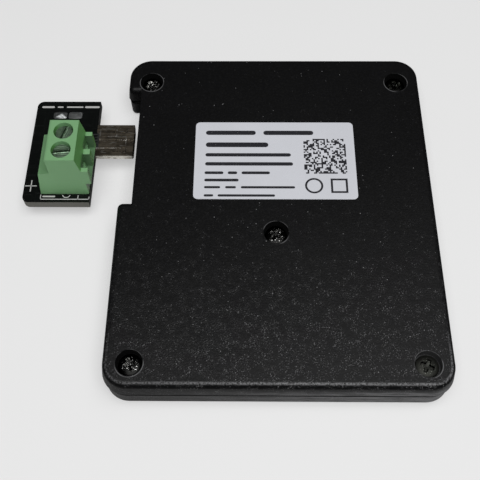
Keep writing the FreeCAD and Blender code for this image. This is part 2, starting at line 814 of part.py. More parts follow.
def make_light():
    centred_box("status_led", "button_x", LIGHT_Y, f"{BOARD_BOTTOM} - led_height",
                "led_width", "led_length", "led_height")
    fused("light_pipe", [
        rod("light_rod", "button_x", LIGHT_Y, "0", "light_diameter - 2 * light_gap", "front_wall"),
        rod("light_head", "button_x", LIGHT_Y, "front_wall", "light_head_diameter",
            "board_standoff - led_height"),
    ])
    return ["status_led", "light_pipe"]


# Plug and socket sections, drawn in the plane across X
def plug_section(grow):
    """The plug's outline, wide above and drawn in below, grown by a margin."""
    half = f"(plug_width / 2 + {grow})"
    top = f"(plug_level + plug_height / 2 + {grow})"
    knee = f"(plug_level + plug_height / 2 - plug_side - {grow} / 2)"
    bottom = f"(plug_level - plug_height / 2 - {grow})"
    toe = f"(plug_width / 2 - plug_chamfer + {grow} / 2)"
    return [(f"{PLUG_Y} - {toe}", bottom), (f"{PLUG_Y} + {toe}", bottom), (f"{PLUG_Y} + {half}", knee),
            (f"{PLUG_Y} + {half}", top), (f"{PLUG_Y} - {half}", top), (f"{PLUG_Y} - {half}", knee)]


def make_socket_shell():
    body = new_body("usb_socket_shell")
    outer = new_sketch(body, "socket_outer_sketch", "YZ_Plane", SOCKET_FRONT)
    add_outline(outer, plug_section("(socket_gap + socket_wall)"))
    pad(body, "socket_outer", outer, "socket_length")
    tabs = new_sketch(body, "socket_tabs_sketch", offset=BOARD_TOP)
    inner_edge = "(plug_width / 2 - plug_chamfer + socket_wall)"
    outer_edge = "(plug_width / 2 + socket_gap + socket_wall + socket_cutout_gap + socket_tab_width)"
    front_tab = f"({SOCKET_FRONT} + socket_tab_length / 2)"
    back_tab = f"({SOCKET_BACK} - 1.5 * socket_tab_length)"
    for start in (front_tab, back_tab):
        for sign in ("-", "+"):
            add_rectangle(tabs, start, f"{PLUG_Y} {sign} {inner_edge}",
                          f"{start} + socket_tab_length", f"{PLUG_Y} {sign} {outer_edge}")
    pad(body, "socket_tabs", tabs, "socket_tab_thickness")
    inner = new_sketch(body, "socket_inner_sketch", "YZ_Plane", f"{SOCKET_FRONT} - socket_length / 2")
    add_outline(inner, plug_section("socket_gap"))
    pocket(body, "socket_inner", inner, "2 * socket_length")
    return body


def contact_places():
    """The y of each of the plug's contacts."""
    middle = (CONTACT_COUNT - 1) / 2
    return [f"({PLUG_Y} + {index - middle} * contact_pitch)" for index in range(CONTACT_COUNT)]


def contact_strip(name, left, right, y, z):
    """A flat strip of contact metal from one x to another."""
    return box(name, left, f"{y} - contact_width / 2", z,
               f"{right} - ({left})", "contact_width", "contact_thickness")


def make_socket_inside():
    contacts = []
    strip_start = f"({SOCKET_BACK} - socket_base - tongue_length + contact_tail / 2)"
    for index, y in enumerate(contact_places()):
        strip = contact_strip(f"socket_strip_{index}", strip_start,
                              f"{SOCKET_BACK} + contact_thickness", y, SOCKET_TONGUE_TOP)
        leg = centred_box(f"socket_leg_{index}", f"{SOCKET_BACK} + contact_thickness / 2", y, BOARD_TOP,
                          "contact_thickness", "contact_width",
                          f"{SOCKET_TONGUE_TOP} + contact_thickness - {BOARD_TOP}")
        tail = contact_strip(f"socket_tail_{index}", SOCKET_BACK,
                             f"{SOCKET_BACK} + contact_tail", y, BOARD_TOP)
        contacts.append(fused(f"socket_contact_{index}", [strip, leg, tail]))
    group = grouped("usb_socket_contacts", contacts)

    body = new_body("socket_tongue_blank")
    base = new_sketch(body, "socket_base_sketch", "YZ_Plane", f"{SOCKET_BACK} - socket_base")
    add_outline(base, plug_section("socket_gap"))
    pad(body, "socket_base_plate", base, "socket_base")
    tongue = new_sketch(body, "socket_tongue_sketch", offset=f"{SOCKET_TONGUE_TOP} - tongue_thickness")
    add_rectangle(tongue, f"{SOCKET_BACK} - socket_base - tongue_length", f"{PLUG_Y} - tongue_width / 2",
                  f"{SOCKET_BACK} - socket_base / 2", f"{PLUG_Y} + tongue_width / 2")
    pad(body, "socket_tongue_bar", tongue, "tongue_thickness")
    cut("usb_socket_tongue", body, group)
    return ["usb_socket_contacts", "usb_socket_tongue"]


# Adapter board and plug
def make_adapter_board():
    body = new_body("module_board")
    outline = new_sketch(body, "adapter_sketch", offset=ADAPTER_BOTTOM)
    left = f"({ADAPTER_RIGHT} - adapter_width)"
    add_rectangle(outline, left, ADAPTER_NEAR, ADAPTER_RIGHT, f"{ADAPTER_NEAR} + adapter_length")
    pad(body, "adapter_sheet", outline, "adapter_thickness")
    left_x = value(left)

    def is_left_corner(edge):
        return is_upright(edge) and abs(edge.CenterOfMass.x - left_x) < NEARLY

    rounded(body, "adapter_corners", is_left_corner, "adapter_corner")
    holes = new_sketch(body, "adapter_holes_sketch", offset=f"{ADAPTER_BOTTOM} - adapter_thickness")
    add_circles(holes, [(PIN_X, y) for y in POLE_YS.values()], "pin_hole_diameter")
    pocket(body, "adapter_holes", holes, "3 * adapter_thickness")
    return body


def make_plug_shell():
    body = new_body("plug_shell")
    outer = new_sketch(body, "plug_outer_sketch", "YZ_Plane", ADAPTER_RIGHT)
    add_outline(outer, plug_section("0"))
    pad(body, "plug_outer", outer, "plug_length")
    legs = new_sketch(body, "plug_legs_sketch", offset=f"{ADAPTER_BOTTOM} - plug_leg_thickness")
    inner_edge = "(plug_width / 2 - plug_chamfer - plug_leg_width)"
    for sign in ("-", "+"):
        add_rectangle(legs, f"{ADAPTER_RIGHT} - plug_leg_length", f"{PLUG_Y} {sign} {inner_edge}",
                      f"{ADAPTER_RIGHT} + plug_wall", f"{PLUG_Y} {sign} ({inner_edge} + plug_leg_width)")
    pad(body, "plug_legs", legs, "plug_leg_thickness")
    inner = new_sketch(body, "plug_inner_sketch", "YZ_Plane", ADAPTER_RIGHT)
    add_outline(inner, plug_section("(-plug_wall)"))
    pocket(body, "plug_inner", inner, "2 * plug_length")

    windows = new_sketch(body, "plug_windows_sketch", offset="plug_level")
    for sign in ("-", "+"):
        y = f"({PLUG_Y} {sign} latch_spacing / 2)"
        add_rectangle(windows, f"{PLUG_TIP} - latch_setback - latch_length - latch_gap",
                      f"{y} - latch_width / 2 - latch_gap", f"{PLUG_TIP} - latch_setback + latch_gap",
                      f"{y} + latch_width / 2 + latch_gap")
    tail_half = f"({CONTACT_COUNT} * contact_pitch / 2)"
    add_rectangle(windows, f"{ADAPTER_RIGHT} - plug_wall", f"{PLUG_Y} - {tail_half}",
                  f"{ADAPTER_RIGHT} + 2 * plug_wall", f"{PLUG_Y} + {tail_half}")
    pocket(body, "plug_windows", windows, "plug_height")
    return body


def make_plug_inside():
    contact_bottom = "(plug_level + plug_cavity_height / 2 - contact_thickness)"
    start = f"({ADAPTER_RIGHT} + contact_thickness)"
    contacts = []
    for index, y in enumerate(contact_places()):
        strip = contact_strip(f"plug_strip_{index}", start,
                              f"{PLUG_TIP} - plug_tip_recess - contact_tail / 2", y, contact_bottom)
        riser = box(f"plug_riser_{index}", start, f"{y} - contact_width / 2", contact_bottom,
                    "contact_thickness", "contact_width",
                    f"{ADAPTER_TOP} - {contact_bottom} + contact_thickness")
        tail = contact_strip(f"plug_tail_{index}", f"{ADAPTER_RIGHT} - contact_tail",
                             f"{start} + contact_thickness", y, ADAPTER_TOP)
        contacts.append(fused(f"plug_contact_{index}", [strip, riser, tail]))
    group = grouped("plug_contacts", contacts)

    body = new_body("plug_insulator_blank")
    core = new_sketch(body, "plug_core_sketch", "YZ_Plane", ADAPTER_RIGHT)
    add_outline(core, plug_section("(-plug_wall)"))
    pad(body, "plug_core", core, "plug_length - plug_tip_recess")
    cavity = new_sketch(body, "plug_cavity_sketch", offset="plug_level - plug_cavity_height / 2")
    add_rectangle(cavity, f"{PLUG_TIP} - plug_tip_recess - plug_cavity_depth",
                  f"{PLUG_Y} - plug_cavity_width / 2",
                  f"{PLUG_TIP} + plug_wall", f"{PLUG_Y} + plug_cavity_width / 2")
    pocket(body, "plug_cavity", cavity, "plug_cavity_height")
    cut("plug_insulator", body, group)

    latches = []
    latch_bottom = "(plug_level + plug_height / 2 - plug_wall)"
    for end, sign in (("near", "-"), ("far", "+")):
        latches.append(box(f"plug_latch_{end}", f"{PLUG_TIP} - latch_setback - latch_length",
                           f"{PLUG_Y} {sign} latch_spacing / 2 - latch_width / 2", latch_bottom,
                           "latch_length", "latch_width", "plug_wall + latch_rise"))
    grouped("plug_latches", latches)
    return ["plug_contacts", "plug_insulator", "plug_latches"]


def make_solder_pads():
    """Two tinned pads behind the terminal, one with a mound of solder on it."""
    y = f"({ADAPTER_NEAR} + adapter_length - pad_inset)"
    pads = []
    for index in range(2):
        x = f"({ADAPTER_RIGHT} - pad_x + {index} * pad_spacing)"
        pads.append(centred_box(f"solder_pad_{index}", x, y, ADAPTER_TOP,
                                "pad_width", "pad_length", "pad_height"))
    mound = cone("solder_mound", f"{ADAPTER_RIGHT} - pad_x", y, f"{ADAPTER_TOP} + pad_height",
                 "pad_length", "pad_length / 2", "pad_mound")
    grouped("solder_pads", [fused("solder_pad_mounded", [pads[0], mound]), pads[1]])
    return ["solder_pads"]


# Screw terminal
def above_adapter(height):
    return f"({ADAPTER_TOP} + {height})"


def left_of_edge(distance):
    return f"({ADAPTER_RIGHT} - {distance})"


def make_terminal_housing():
    body = new_body("terminal_housing")
    profile = new_sketch(body, "terminal_profile_sketch", "XZ_Plane",
                         f"-({TERMINAL_NEAR} + terminal_length)")
    lip_x = f"({ADAPTER_RIGHT} + lip_overhang)"
    front_x = left_of_edge("front_setback")
    add_outline(profile, [
        (left_of_edge("foot_edge"), ADAPTER_TOP),
        (front_x, ADAPTER_TOP),
        (front_x, above_adapter("lip_bottom")),
        (lip_x, above_adapter("lip_bottom")),
        (lip_x, above_adapter("lip_height")),
        (left_of_edge("slope_foot"), above_adapter("lip_height")),
        (left_of_edge("deck_near_edge"), above_adapter("terminal_height")),
        (left_of_edge("deck_far_edge"), above_adapter("terminal_height")),
        (left_of_edge("deck_far_edge"), above_adapter("shelf_height + shelf_rise")),
        (left_of_edge("shelf_edge"), above_adapter("shelf_height")),
    ])
    pad(body, "terminal_block", profile, "terminal_length")

    poles = [(POLE_X, y) for y in POLE_YS.values()]
    wells = new_sketch(body, "terminal_wells_sketch", offset=CLAMP_HEAD_BOTTOM)
    add_circles(wells, poles, "well_diameter")
    pocket(body, "terminal_wells", wells, "terminal_height")
    cavity_bottom = above_adapter("cage_bottom - cavity_spare")
    cavity_top = f"({CLAMP_HEAD_BOTTOM} - ledge_thickness)"
    throats = new_sketch(body, "terminal_throats_sketch", offset=cavity_top)
    add_circles(throats, poles, "clamp_shank_diameter + 2 * clamp_hole_gap")
    pocket(body, "terminal_throats", throats, "terminal_height")

    cavities = new_sketch(body, "terminal_cavities_sketch", offset=cavity_bottom)
    slots = new_sketch(body, "terminal_slots_sketch", offset=ADAPTER_TOP)
    channels = new_sketch(body, "terminal_channels_sketch", offset=above_adapter("bar_bottom"))
    funnels = new_sketch(body, "terminal_funnels_sketch", offset=above_adapter("funnel_bottom"))
    bores = new_sketch(body, "terminal_bores_sketch", "YZ_Plane", POLE_X)
    half_cavity = "(cage_width / 2 + cage_gap)"
    bar_left = left_of_edge("bar_far_edge")
    for y in POLE_YS.values():
        add_rectangle(cavities, f"{POLE_X} - {half_cavity}", f"{y} - {half_cavity}",
                      f"{POLE_X} + {half_cavity}", f"{y} + {half_cavity}")
        add_rectangle(slots, bar_left, f"{y} - bar_width / 2",
                      f"{bar_left} + leg_thickness", f"{y} + bar_width / 2")
        add_rectangle(channels, bar_left, f"{y} - bar_width / 2",
                      left_of_edge("bar_near_edge"), f"{y} + bar_width / 2")
        add_rectangle(funnels, f"{lip_x} - funnel_depth", f"{y} - funnel_width / 2",
                      f"{lip_x} + funnel_depth", f"{y} + funnel_width / 2")
        add_circle(bores, y, above_adapter("wire_level"), "wire_bore_diameter")
    pocket(body, "terminal_cavities", cavities, f"{cavity_top} - {cavity_bottom}")
    pocket(body, "terminal_slots", slots, "bar_bottom + bar_thickness")
    pocket(body, "terminal_channels", channels, "bar_thickness")
    pocket(body, "terminal_funnels", funnels, "terminal_height")
    pocket(body, "terminal_bores", bores, "2 * pole_setback")
    return body


def make_terminal_contacts():
    """For each pole a bar through the cage, a leg down the slot and a pin through the board."""
    contacts = []
    joints = []
    bar_left = left_of_edge("bar_far_edge")
    for end, y in POLE_YS.items():
        bar = box(f"contact_bar_{end}", bar_left, f"{y} - bar_width / 2", above_adapter("bar_bottom"),
                  "bar_far_edge - bar_near_edge", "bar_width", "bar_thickness")
        leg = box(f"contact_leg_{end}", bar_left, f"{y} - bar_width / 2", ADAPTER_TOP,
                  "leg_thickness", "bar_width", "bar_bottom + bar_thickness")
        pin_bottom = f"({ADAPTER_BOTTOM} - pin_length)"
        pin = box(f"contact_pin_{end}", bar_left, f"{y} - pin_width / 2", pin_bottom,
                  "leg_thickness", "pin_width", f"{ADAPTER_TOP} - {pin_bottom}")
        contacts.append(fused(f"terminal_contact_{end}", [bar, leg, pin]))
        mound = cone(f"solder_cone_{end}", PIN_X, y, f"{ADAPTER_BOTTOM} - solder_height",
                     "pin_width + leg_thickness", "solder_diameter", "solder_height")
        joints.append(cut(f"solder_joint_{end}", mound, pin))
    grouped("terminal_contacts", contacts)
    grouped("solder_joints", joints)
    return ["terminal_contacts", "solder_joints"]


def make_clamp(end, y):
    """One pole's screw and the cage that it lifts."""
    head_top = f"({CLAMP_HEAD_BOTTOM} + clamp_head_height)"
    blank = fused(f"clamp_screw_blank_{end}", [
        rod(f"clamp_head_{end}", POLE_X, y, CLAMP_HEAD_BOTTOM, "clamp_head_diameter", "clamp_head_height"),
        rod(f"clamp_shank_{end}", POLE_X, y, f"{CLAMP_HEAD_BOTTOM} - clamp_shank_length",
            "clamp_shank_diameter", "clamp_shank_length"),
    ])
    slot = centred_box(f"clamp_slot_{end}", POLE_X, y, f"{head_top} - clamp_slot_depth",
                       "2 * clamp_head_diameter", "clamp_slot_width", "2 * clamp_slot_depth")
    cut(f"terminal_screw_{end}", blank, slot)

    bottom = above_adapter("cage_bottom")
    block = centred_box(f"cage_block_{end}", POLE_X, y, bottom,
                        "cage_width", "cage_width", "cage_height")
    window = centred_box(f"cage_window_{end}", POLE_X, y, f"{bottom} + cage_floor", "2 * cage_width",
                         "cage_width - 2 * cage_wall", "cage_height - 2 * cage_floor")
    thread = rod(f"cage_thread_{end}", POLE_X, y, f"{bottom} + cage_height / 2",
                 "clamp_shank_diameter + 2 * cage_thread_gap", "cage_height")
    cut(f"wire_cage_{end}", block, fused(f"cage_hollow_{end}", [window, thread]))
    return [f"terminal_screw_{end}", f"wire_cage_{end}"]


# The whole object
make_front_shell()
make_back_cover()
make_case_screws()
make_back_label()
make_main_board()
make_coin_cell()
make_cell_clip()
make_cell_contact()
make_front_button()
make_socket_shell()
make_adapter_board()
make_plug_shell()
make_terminal_housing()
node_names = [
    "front_shell", "back_cover", "case_screws", "back_label", "main_board", "coin_cell", "cell_clip",
    "cell_contact", "front_button", "usb_socket_shell", "module_board", "plug_shell", "terminal_housing",
]
node_names += make_radio_module()
node_names += make_board_parts()
node_names += make_switch()
node_names += make_light()
node_names += make_socket_inside()
node_names += make_plug_inside()
node_names += make_solder_pads()
node_names += make_terminal_contacts()
for pole, pole_y in POLE_YS.items():
    node_names += make_clamp(pole, pole_y)
document.recompute()

# Nothing is written unless every object is sound
for item in document.Objects:
    if "Invalid" in item.State or "Error" in item.State:
        raise RuntimeError(f"{item.Name} is {item.State}")
for name in node_names:
    node = document.getObject(name)
    node.Label = name
    if node.Shape.isNull() or not node.Shape.isValid():
        raise RuntimeError(f"{name} has no sound shape")
for name in node_names:
    document.getObject(name).Shape.exportStep(f"parts/{name}.step")
print(f"{len(node_names)} nodes written")
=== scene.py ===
"""Dresses a sensor beacon and its plug-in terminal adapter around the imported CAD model.

The frame's millimetres are kept: X runs from the adapter towards the case, Y away from the viewer,
Z up through the back cover.
"""

import math
import random

import bmesh
import bpy
from bpy.props import FloatProperty, FloatVectorProperty, IntProperty, PointerProperty
from mathutils import Matrix, Vector


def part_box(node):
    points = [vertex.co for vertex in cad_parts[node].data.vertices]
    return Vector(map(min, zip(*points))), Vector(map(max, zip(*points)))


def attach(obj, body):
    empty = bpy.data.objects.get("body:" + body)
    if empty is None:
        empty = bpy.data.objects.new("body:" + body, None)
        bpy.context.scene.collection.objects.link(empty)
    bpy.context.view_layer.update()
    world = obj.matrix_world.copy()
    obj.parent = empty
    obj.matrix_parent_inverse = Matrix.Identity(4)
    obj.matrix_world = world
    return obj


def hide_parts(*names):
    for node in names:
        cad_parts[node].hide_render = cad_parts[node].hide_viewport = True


bl_info = {
    "name": "Sensor Beacon with Terminal Adapter",
    "version": (1, 0, 0),
    "blender": (4, 5, 0),
    "location": "View3D > Sidebar > Beacon",
    "description": "Dresses a flat sensor beacon and its plug-in screw terminal",
    "category": "Object",
}

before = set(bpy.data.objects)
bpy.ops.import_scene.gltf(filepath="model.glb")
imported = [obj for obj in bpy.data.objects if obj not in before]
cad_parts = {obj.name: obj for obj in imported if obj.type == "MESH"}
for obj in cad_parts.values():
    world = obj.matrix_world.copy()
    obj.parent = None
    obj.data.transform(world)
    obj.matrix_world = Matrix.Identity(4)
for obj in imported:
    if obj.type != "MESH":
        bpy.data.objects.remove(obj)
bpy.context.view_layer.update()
MM = 0.001


def low(node):
    """A CAD node's lowest corner, in millimetres."""
    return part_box(node)[0] / MM


def high(node):
    """A CAD node's highest corner, in millimetres."""
    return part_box(node)[1] / MM


def smooth_step(value):
    """0 below 0, 1 above 1 and an even curve between."""
    value = min(max(value, 0.0), 1.0)
    return value * value * (3 - 2 * value)


# Places that the finishes and the pieces share, in millimetres

SCREW_X = 22.5
SCREW_NEAR_Y = -28.1
SCREW_FAR_Y = 26.3
SCREW_MIDDLE_Y = -5.5
CASE_FOOT = (27.2, 32.4, 4.0)  # half width, half length, corner radius
ADAPTER_FOOT = (-35.0, 13.0, 9.5, 11.0)  # middle X and Y, half width, half length
BOARD_X = -38.08
BOARD_Y = 12.95
BOARD_TOP = high("module_board").z
LABEL_TOP = high("back_label").z


# Sizes and colours that a user would change


def colour(name, description, default):
    """A linear colour."""
    return FloatVectorProperty(name=name, description=description, default=default, size=3, min=0.0,
                               max=1.0, subtype="COLOR")


def length(name, description, default):
    """A length whose default is given in millimetres."""
    return FloatProperty(name=name, description=description, default=default * MM, min=0.0,
                         unit="LENGTH", subtype="DISTANCE", precision=5)


def share(name, description, default):
    """A number from 0 to 1."""
    return FloatProperty(name=name, description=description, default=default, min=0.0, max=1.0,
                         subtype="FACTOR")


class BEACON_PG_case(bpy.types.PropertyGroup):
    plastic: colour("Case plastic", "Colour of the two case halves", (0.0024, 0.0024, 0.0026))
    # This colour serves the dust and also the painted highlights, glints and sheen on the case
    dust_and_highlight: colour("Dust", "Colour of the bright specks in the grain", (0.2, 0.2, 0.205))
    grain_depth: length("Grain depth", "Height of the spark-eroded grain", 0.03)
    roughness: share("Roughness", "How dull the plastic is", 0.4)
    screw_steel: colour("Screw steel", "Colour of the blackened case screws", (0.007, 0.007, 0.0068))


class BEACON_PG_label(bpy.types.PropertyGroup):
    film: colour("Film", "Colour of the label's film", (0.58, 0.59, 0.63))
    ink: colour("Ink", "Colour of the print", (0.012, 0.012, 0.016))
    ink_height: length("Ink height", "How far the print stands on the film", 0.012)
    seed: IntProperty(name="Print seed", description="Start of the random block pattern", default=12, min=0)


class BEACON_PG_adapter(bpy.types.PropertyGroup):
    mask: colour("Solder mask", "Colour of the board's faces", (0.003, 0.0036, 0.0034))
    board_edge: colour("Board edge", "Colour of the cut glass laminate", (0.17, 0.167, 0.15))
    silkscreen: colour("Silkscreen", "Colour of the printed marks", (0.45, 0.45, 0.44))
    terminal: colour("Terminal plastic", "Colour of the terminal's body", (0.172, 0.35, 0.166))
    plug: colour("Plug steel", "Colour of the plug's shell", (0.34, 0.29, 0.22))
    # The clamp steel's green tint is a painted reflection of the green housing
    clamp: colour("Clamp steel", "Colour of the terminal's screws and cages", (0.185, 0.27, 0.185))
    solder: colour("Solder", "Colour of the tinned pads", (0.26, 0.27, 0.27))


class BEACON_PG_inside(bpy.types.PropertyGroup):
    mask: colour("Beacon board", "Colour of the beacon's solder mask", (0.012, 0.075, 0.03))
    steel: colour("Cell steel", "Colour of the coin cell", (0.5, 0.5, 0.5))
    gold: colour("Contact gold", "Colour of the plated contacts", (0.62, 0.42, 0.13))
    chip: colour("Chip", "Colour of moulded chips and switches", (0.018, 0.018, 0.019))
    ceramic: colour("Ceramic", "Colour of capacitors and the antenna", (0.4, 0.31, 0.2))


class BEACON_PG_stage(bpy.types.PropertyGroup):
    floor: colour("Floor", "Colour of the floor and backdrop", (0.807, 0.807, 0.807))
    evenness: share("Floor evenness", "How far the floor shows its own tone in place of its shading", 0.5)
    world: share("World light", "Strength of the light from all round", 0.09)
    key: FloatProperty(name="Key light", description="Power of the large soft box", default=1.5,
                       min=0.0, unit="POWER")
    fill: FloatProperty(name="Fill light", description="Power of the smaller soft box", default=0.12,
                        min=0.0, unit="POWER")
    lens: FloatProperty(name="Lens", description="The camera's focal length in millimetres",
                        default=56.409, min=10.0, unit="CAMERA")


# Shader maths

MIX_FIRST, MIX_SECOND, MIX_RESULT = 6, 7, 2  # the colour sockets of a Mix node


class Wire:
    """A socket of a node tree. Arithmetic on it adds the nodes."""

    def __init__(self, maker, socket):
        self.maker = maker
        self.socket = socket

    def _maths(self, operation, *values):
        return self.maker.node("ShaderNodeMath", {"operation": operation}, dict(enumerate(values)))

    def __add__(self, other):
        return self._maths("ADD", self, other)

    def __sub__(self, other):
        return self._maths("SUBTRACT", self, other)

    def __rsub__(self, other):
        return self._maths("SUBTRACT", other, self)

    def __mul__(self, other):
        return self._maths("MULTIPLY", self, other)

    def __gt__(self, other):
        return self._maths("GREATER_THAN", self, other)

    def __abs__(self):
        return self._maths("ABSOLUTE", self)

    __radd__ = __add__
    __rmul__ = __mul__

    def between(self, start, end):
        """0 at start, 1 at end, and held to that outside."""
        settings = {"interpolation_type": "SMOOTHSTEP"}
        return self.maker.node("ShaderNodeMapRange", settings, {"Value": self, 1: start, 2: end})

    def most(self, other):
        """The larger of the two."""
        return self._maths("MAXIMUM", self, other)

    def least(self, other):
        """The smaller of the two."""
        return self._maths("MINIMUM", self, other)


class NodeMaker:
    """A node tree being filled."""

    def __init__(self, tree):
        self.tree = tree

    def node(self, kind, settings=None, inputs=None, output=0):
        """Adds a node, sets it, then fills its sockets with values or wires."""
        made = self.tree.nodes.new(kind)
        for key, value in (settings or {}).items():
            setattr(made, key, value)
        for key, value in (inputs or {}).items():
            if isinstance(value, Wire):
                self.tree.links.new(value.socket, made.inputs[key])
            else:
                made.inputs[key].default_value = value
        return Wire(self, made.outputs[output]) if made.outputs else None

    def vector(self, operation, first, second=None, output="Vector"):
        """Vector maths on a wire and, where it takes two, a wire or three numbers."""
        inputs = {0: first} if second is None else {0: first, 1: second}
        return self.node("ShaderNodeVectorMath", {"operation": operation}, inputs, output)


class Finish(NodeMaker):
    """A material being made, with its Principled shader and the object's own coordinates."""

    def __init__(self, name, **fixed):
        self.material = bpy.data.materials.new(name)
        self.material.use_nodes = True
        super().__init__(self.material.node_tree)
        self.shader = self.tree.nodes["Principled BSDF"]
        for socket, value in fixed.items():
            self.shader.inputs[socket.replace("_", " ")].default_value = value
        self.place = self.node("ShaderNodeTexCoord", output="Object")

    def feed(self, socket, wire):
        """Links a wire to a socket of the Principled shader."""
        self.tree.links.new(wire.socket, self.shader.inputs[socket])

    def stretched(self, x, y, z):
        """The place in millimetres, scaled along each axis."""
        return self.vector("MULTIPLY", self.place, (x / MM, y / MM, z / MM))

    def noise(self, per_mm, detail=2.0, place=None, rough=0.55):
        """Soft noise from 0 to 1, with so many waves in a millimetre."""
        place = place or self.stretched(1, 1, 1)
        inputs = {"Vector": place, "Scale": per_mm, "Detail": detail, "Roughness": rough}
        return self.node("ShaderNodeTexNoise", None, inputs)

    def specks(self, per_mm, size):
        """1 in small round specks, so many in a millimetre, and 0 elsewhere."""
        inputs = {"Vector": self.stretched(1, 1, 1), "Scale": per_mm}
        return 1 - self.node("ShaderNodeTexVoronoi", None, inputs, "Distance").between(size * 0.5, size)

    def axis(self, letter):
        """One coordinate of the place, in millimetres."""
        return self.node("ShaderNodeSeparateXYZ", None, {0: self.stretched(1, 1, 1)}, letter)

    def from_axis(self, x, y, centre_y=None):
        """Distance in millimetres from an upright axis.

        With centre_y it is the distance from the nearest of four, mirrored about X = 0 and Y = centre_y.
        """
        place = self.vector("MULTIPLY", self.stretched(1, 1, 1), (1, 1, 0))
        if centre_y is not None:
            place = self.vector("ABSOLUTE", self.vector("SUBTRACT", place, (0, centre_y, 0)))
            y = abs(y - centre_y)
        return self.vector("DISTANCE", place, (x, y, 0), "Value")

    def from_case_screws(self, shift=0.0):
        """Distance from the nearest case screw's axis, each moved towards the viewer by shift."""
        middle_y = (SCREW_NEAR_Y + SCREW_FAR_Y) / 2
        corners = self.from_axis(SCREW_X, SCREW_NEAR_Y - shift, centre_y=middle_y - shift)
        return corners.least(self.from_axis(0.0, SCREW_MIDDLE_Y - shift))

    def near_right(self):
        """1 about the case's near right screw, where the light falls into the bore."""
        return self.axis("X").between(8, 14) * self.axis("Y").between(-18, -24)

    def from_outline(self, half_x, half_y, radius):
        """Distance in millimetres from the outline of a round-cornered rectangle, where it bends."""
        place = self.vector("ABSOLUTE", self.stretched(1, 1, 1))
        far_away = 1000.0
        place = self.vector("SUBTRACT", place, (half_x - radius, half_y - radius, far_away))
        place = self.vector("MAXIMUM", place, (0, 0, 0))
        return self.vector("LENGTH", place, output="Value") - radius

    def from_panel(self, x, y, half_x, half_y):
        """How far outside a level rectangle, in millimetres, and below 0 inside it."""
        return (abs(self.axis("X") - x) - half_x).most(abs(self.axis("Y") - y) - half_y)

    def facing(self, letter):
        """How far the surface faces along an axis of the object, from -1 to 1."""
        normal = self.node("ShaderNodeTexCoord", output="Normal")
        return self.node("ShaderNodeSeparateXYZ", None, {0: normal}, letter)

    def blend(self, factor, first, second):
        """A colour between two, each a tuple of three numbers or a wire."""
        first, second = (side if isinstance(side, Wire) else (*side, 1.0) for side in (first, second))
        settings = {"data_type": "RGBA", "clamp_factor": True}
        inputs = {0: factor, MIX_FIRST: first, MIX_SECOND: second}
        return self.node("ShaderNodeMix", settings, inputs, MIX_RESULT)

    def cover_with(self, shader, factor):
        """Mixes another shader over what the material shows so far."""
        surface = self.tree.nodes["Material Output"].inputs["Surface"]
        shown = Wire(self, surface.links[0].from_socket)
        mixed = self.node("ShaderNodeMixShader", None, {0: factor, 1: shown, 2: shader})
        self.tree.links.new(mixed.socket, surface)

    def raise_by(self, height, distance, strength=1.0):
        """Bumps the surface by a height, where 1 stands for a distance in millimetres."""
        inputs = {"Height": height, "Distance": distance * MM, "Strength": strength}
        self.feed("Normal", self.node("ShaderNodeBump", None, inputs))


def tinted(base, factor):
    """A colour made lighter or darker."""
    return tuple(min(part * factor, 1.0) for part in base)


# Finishes

COVER_FLAT = (25.6, 30.8, 2.6)  # half width, half length and corner radius of the cover's flat top
CROWN_SHIFT = 0.45  # how far outside that outline the painted highlight line of the cover's edge runs
BORE_RIM_RADIUS = 2.17
BORE_SHIFT = 0.1  # how far towards the viewer the painted highlights on the bores' rims are drawn
PARTING_SHADE = 3.75  # height of the painted shadow line below the cover
SHELL_STEP = (4.1, 3.4)  # heights between which the front shell's edge is shaded as a step


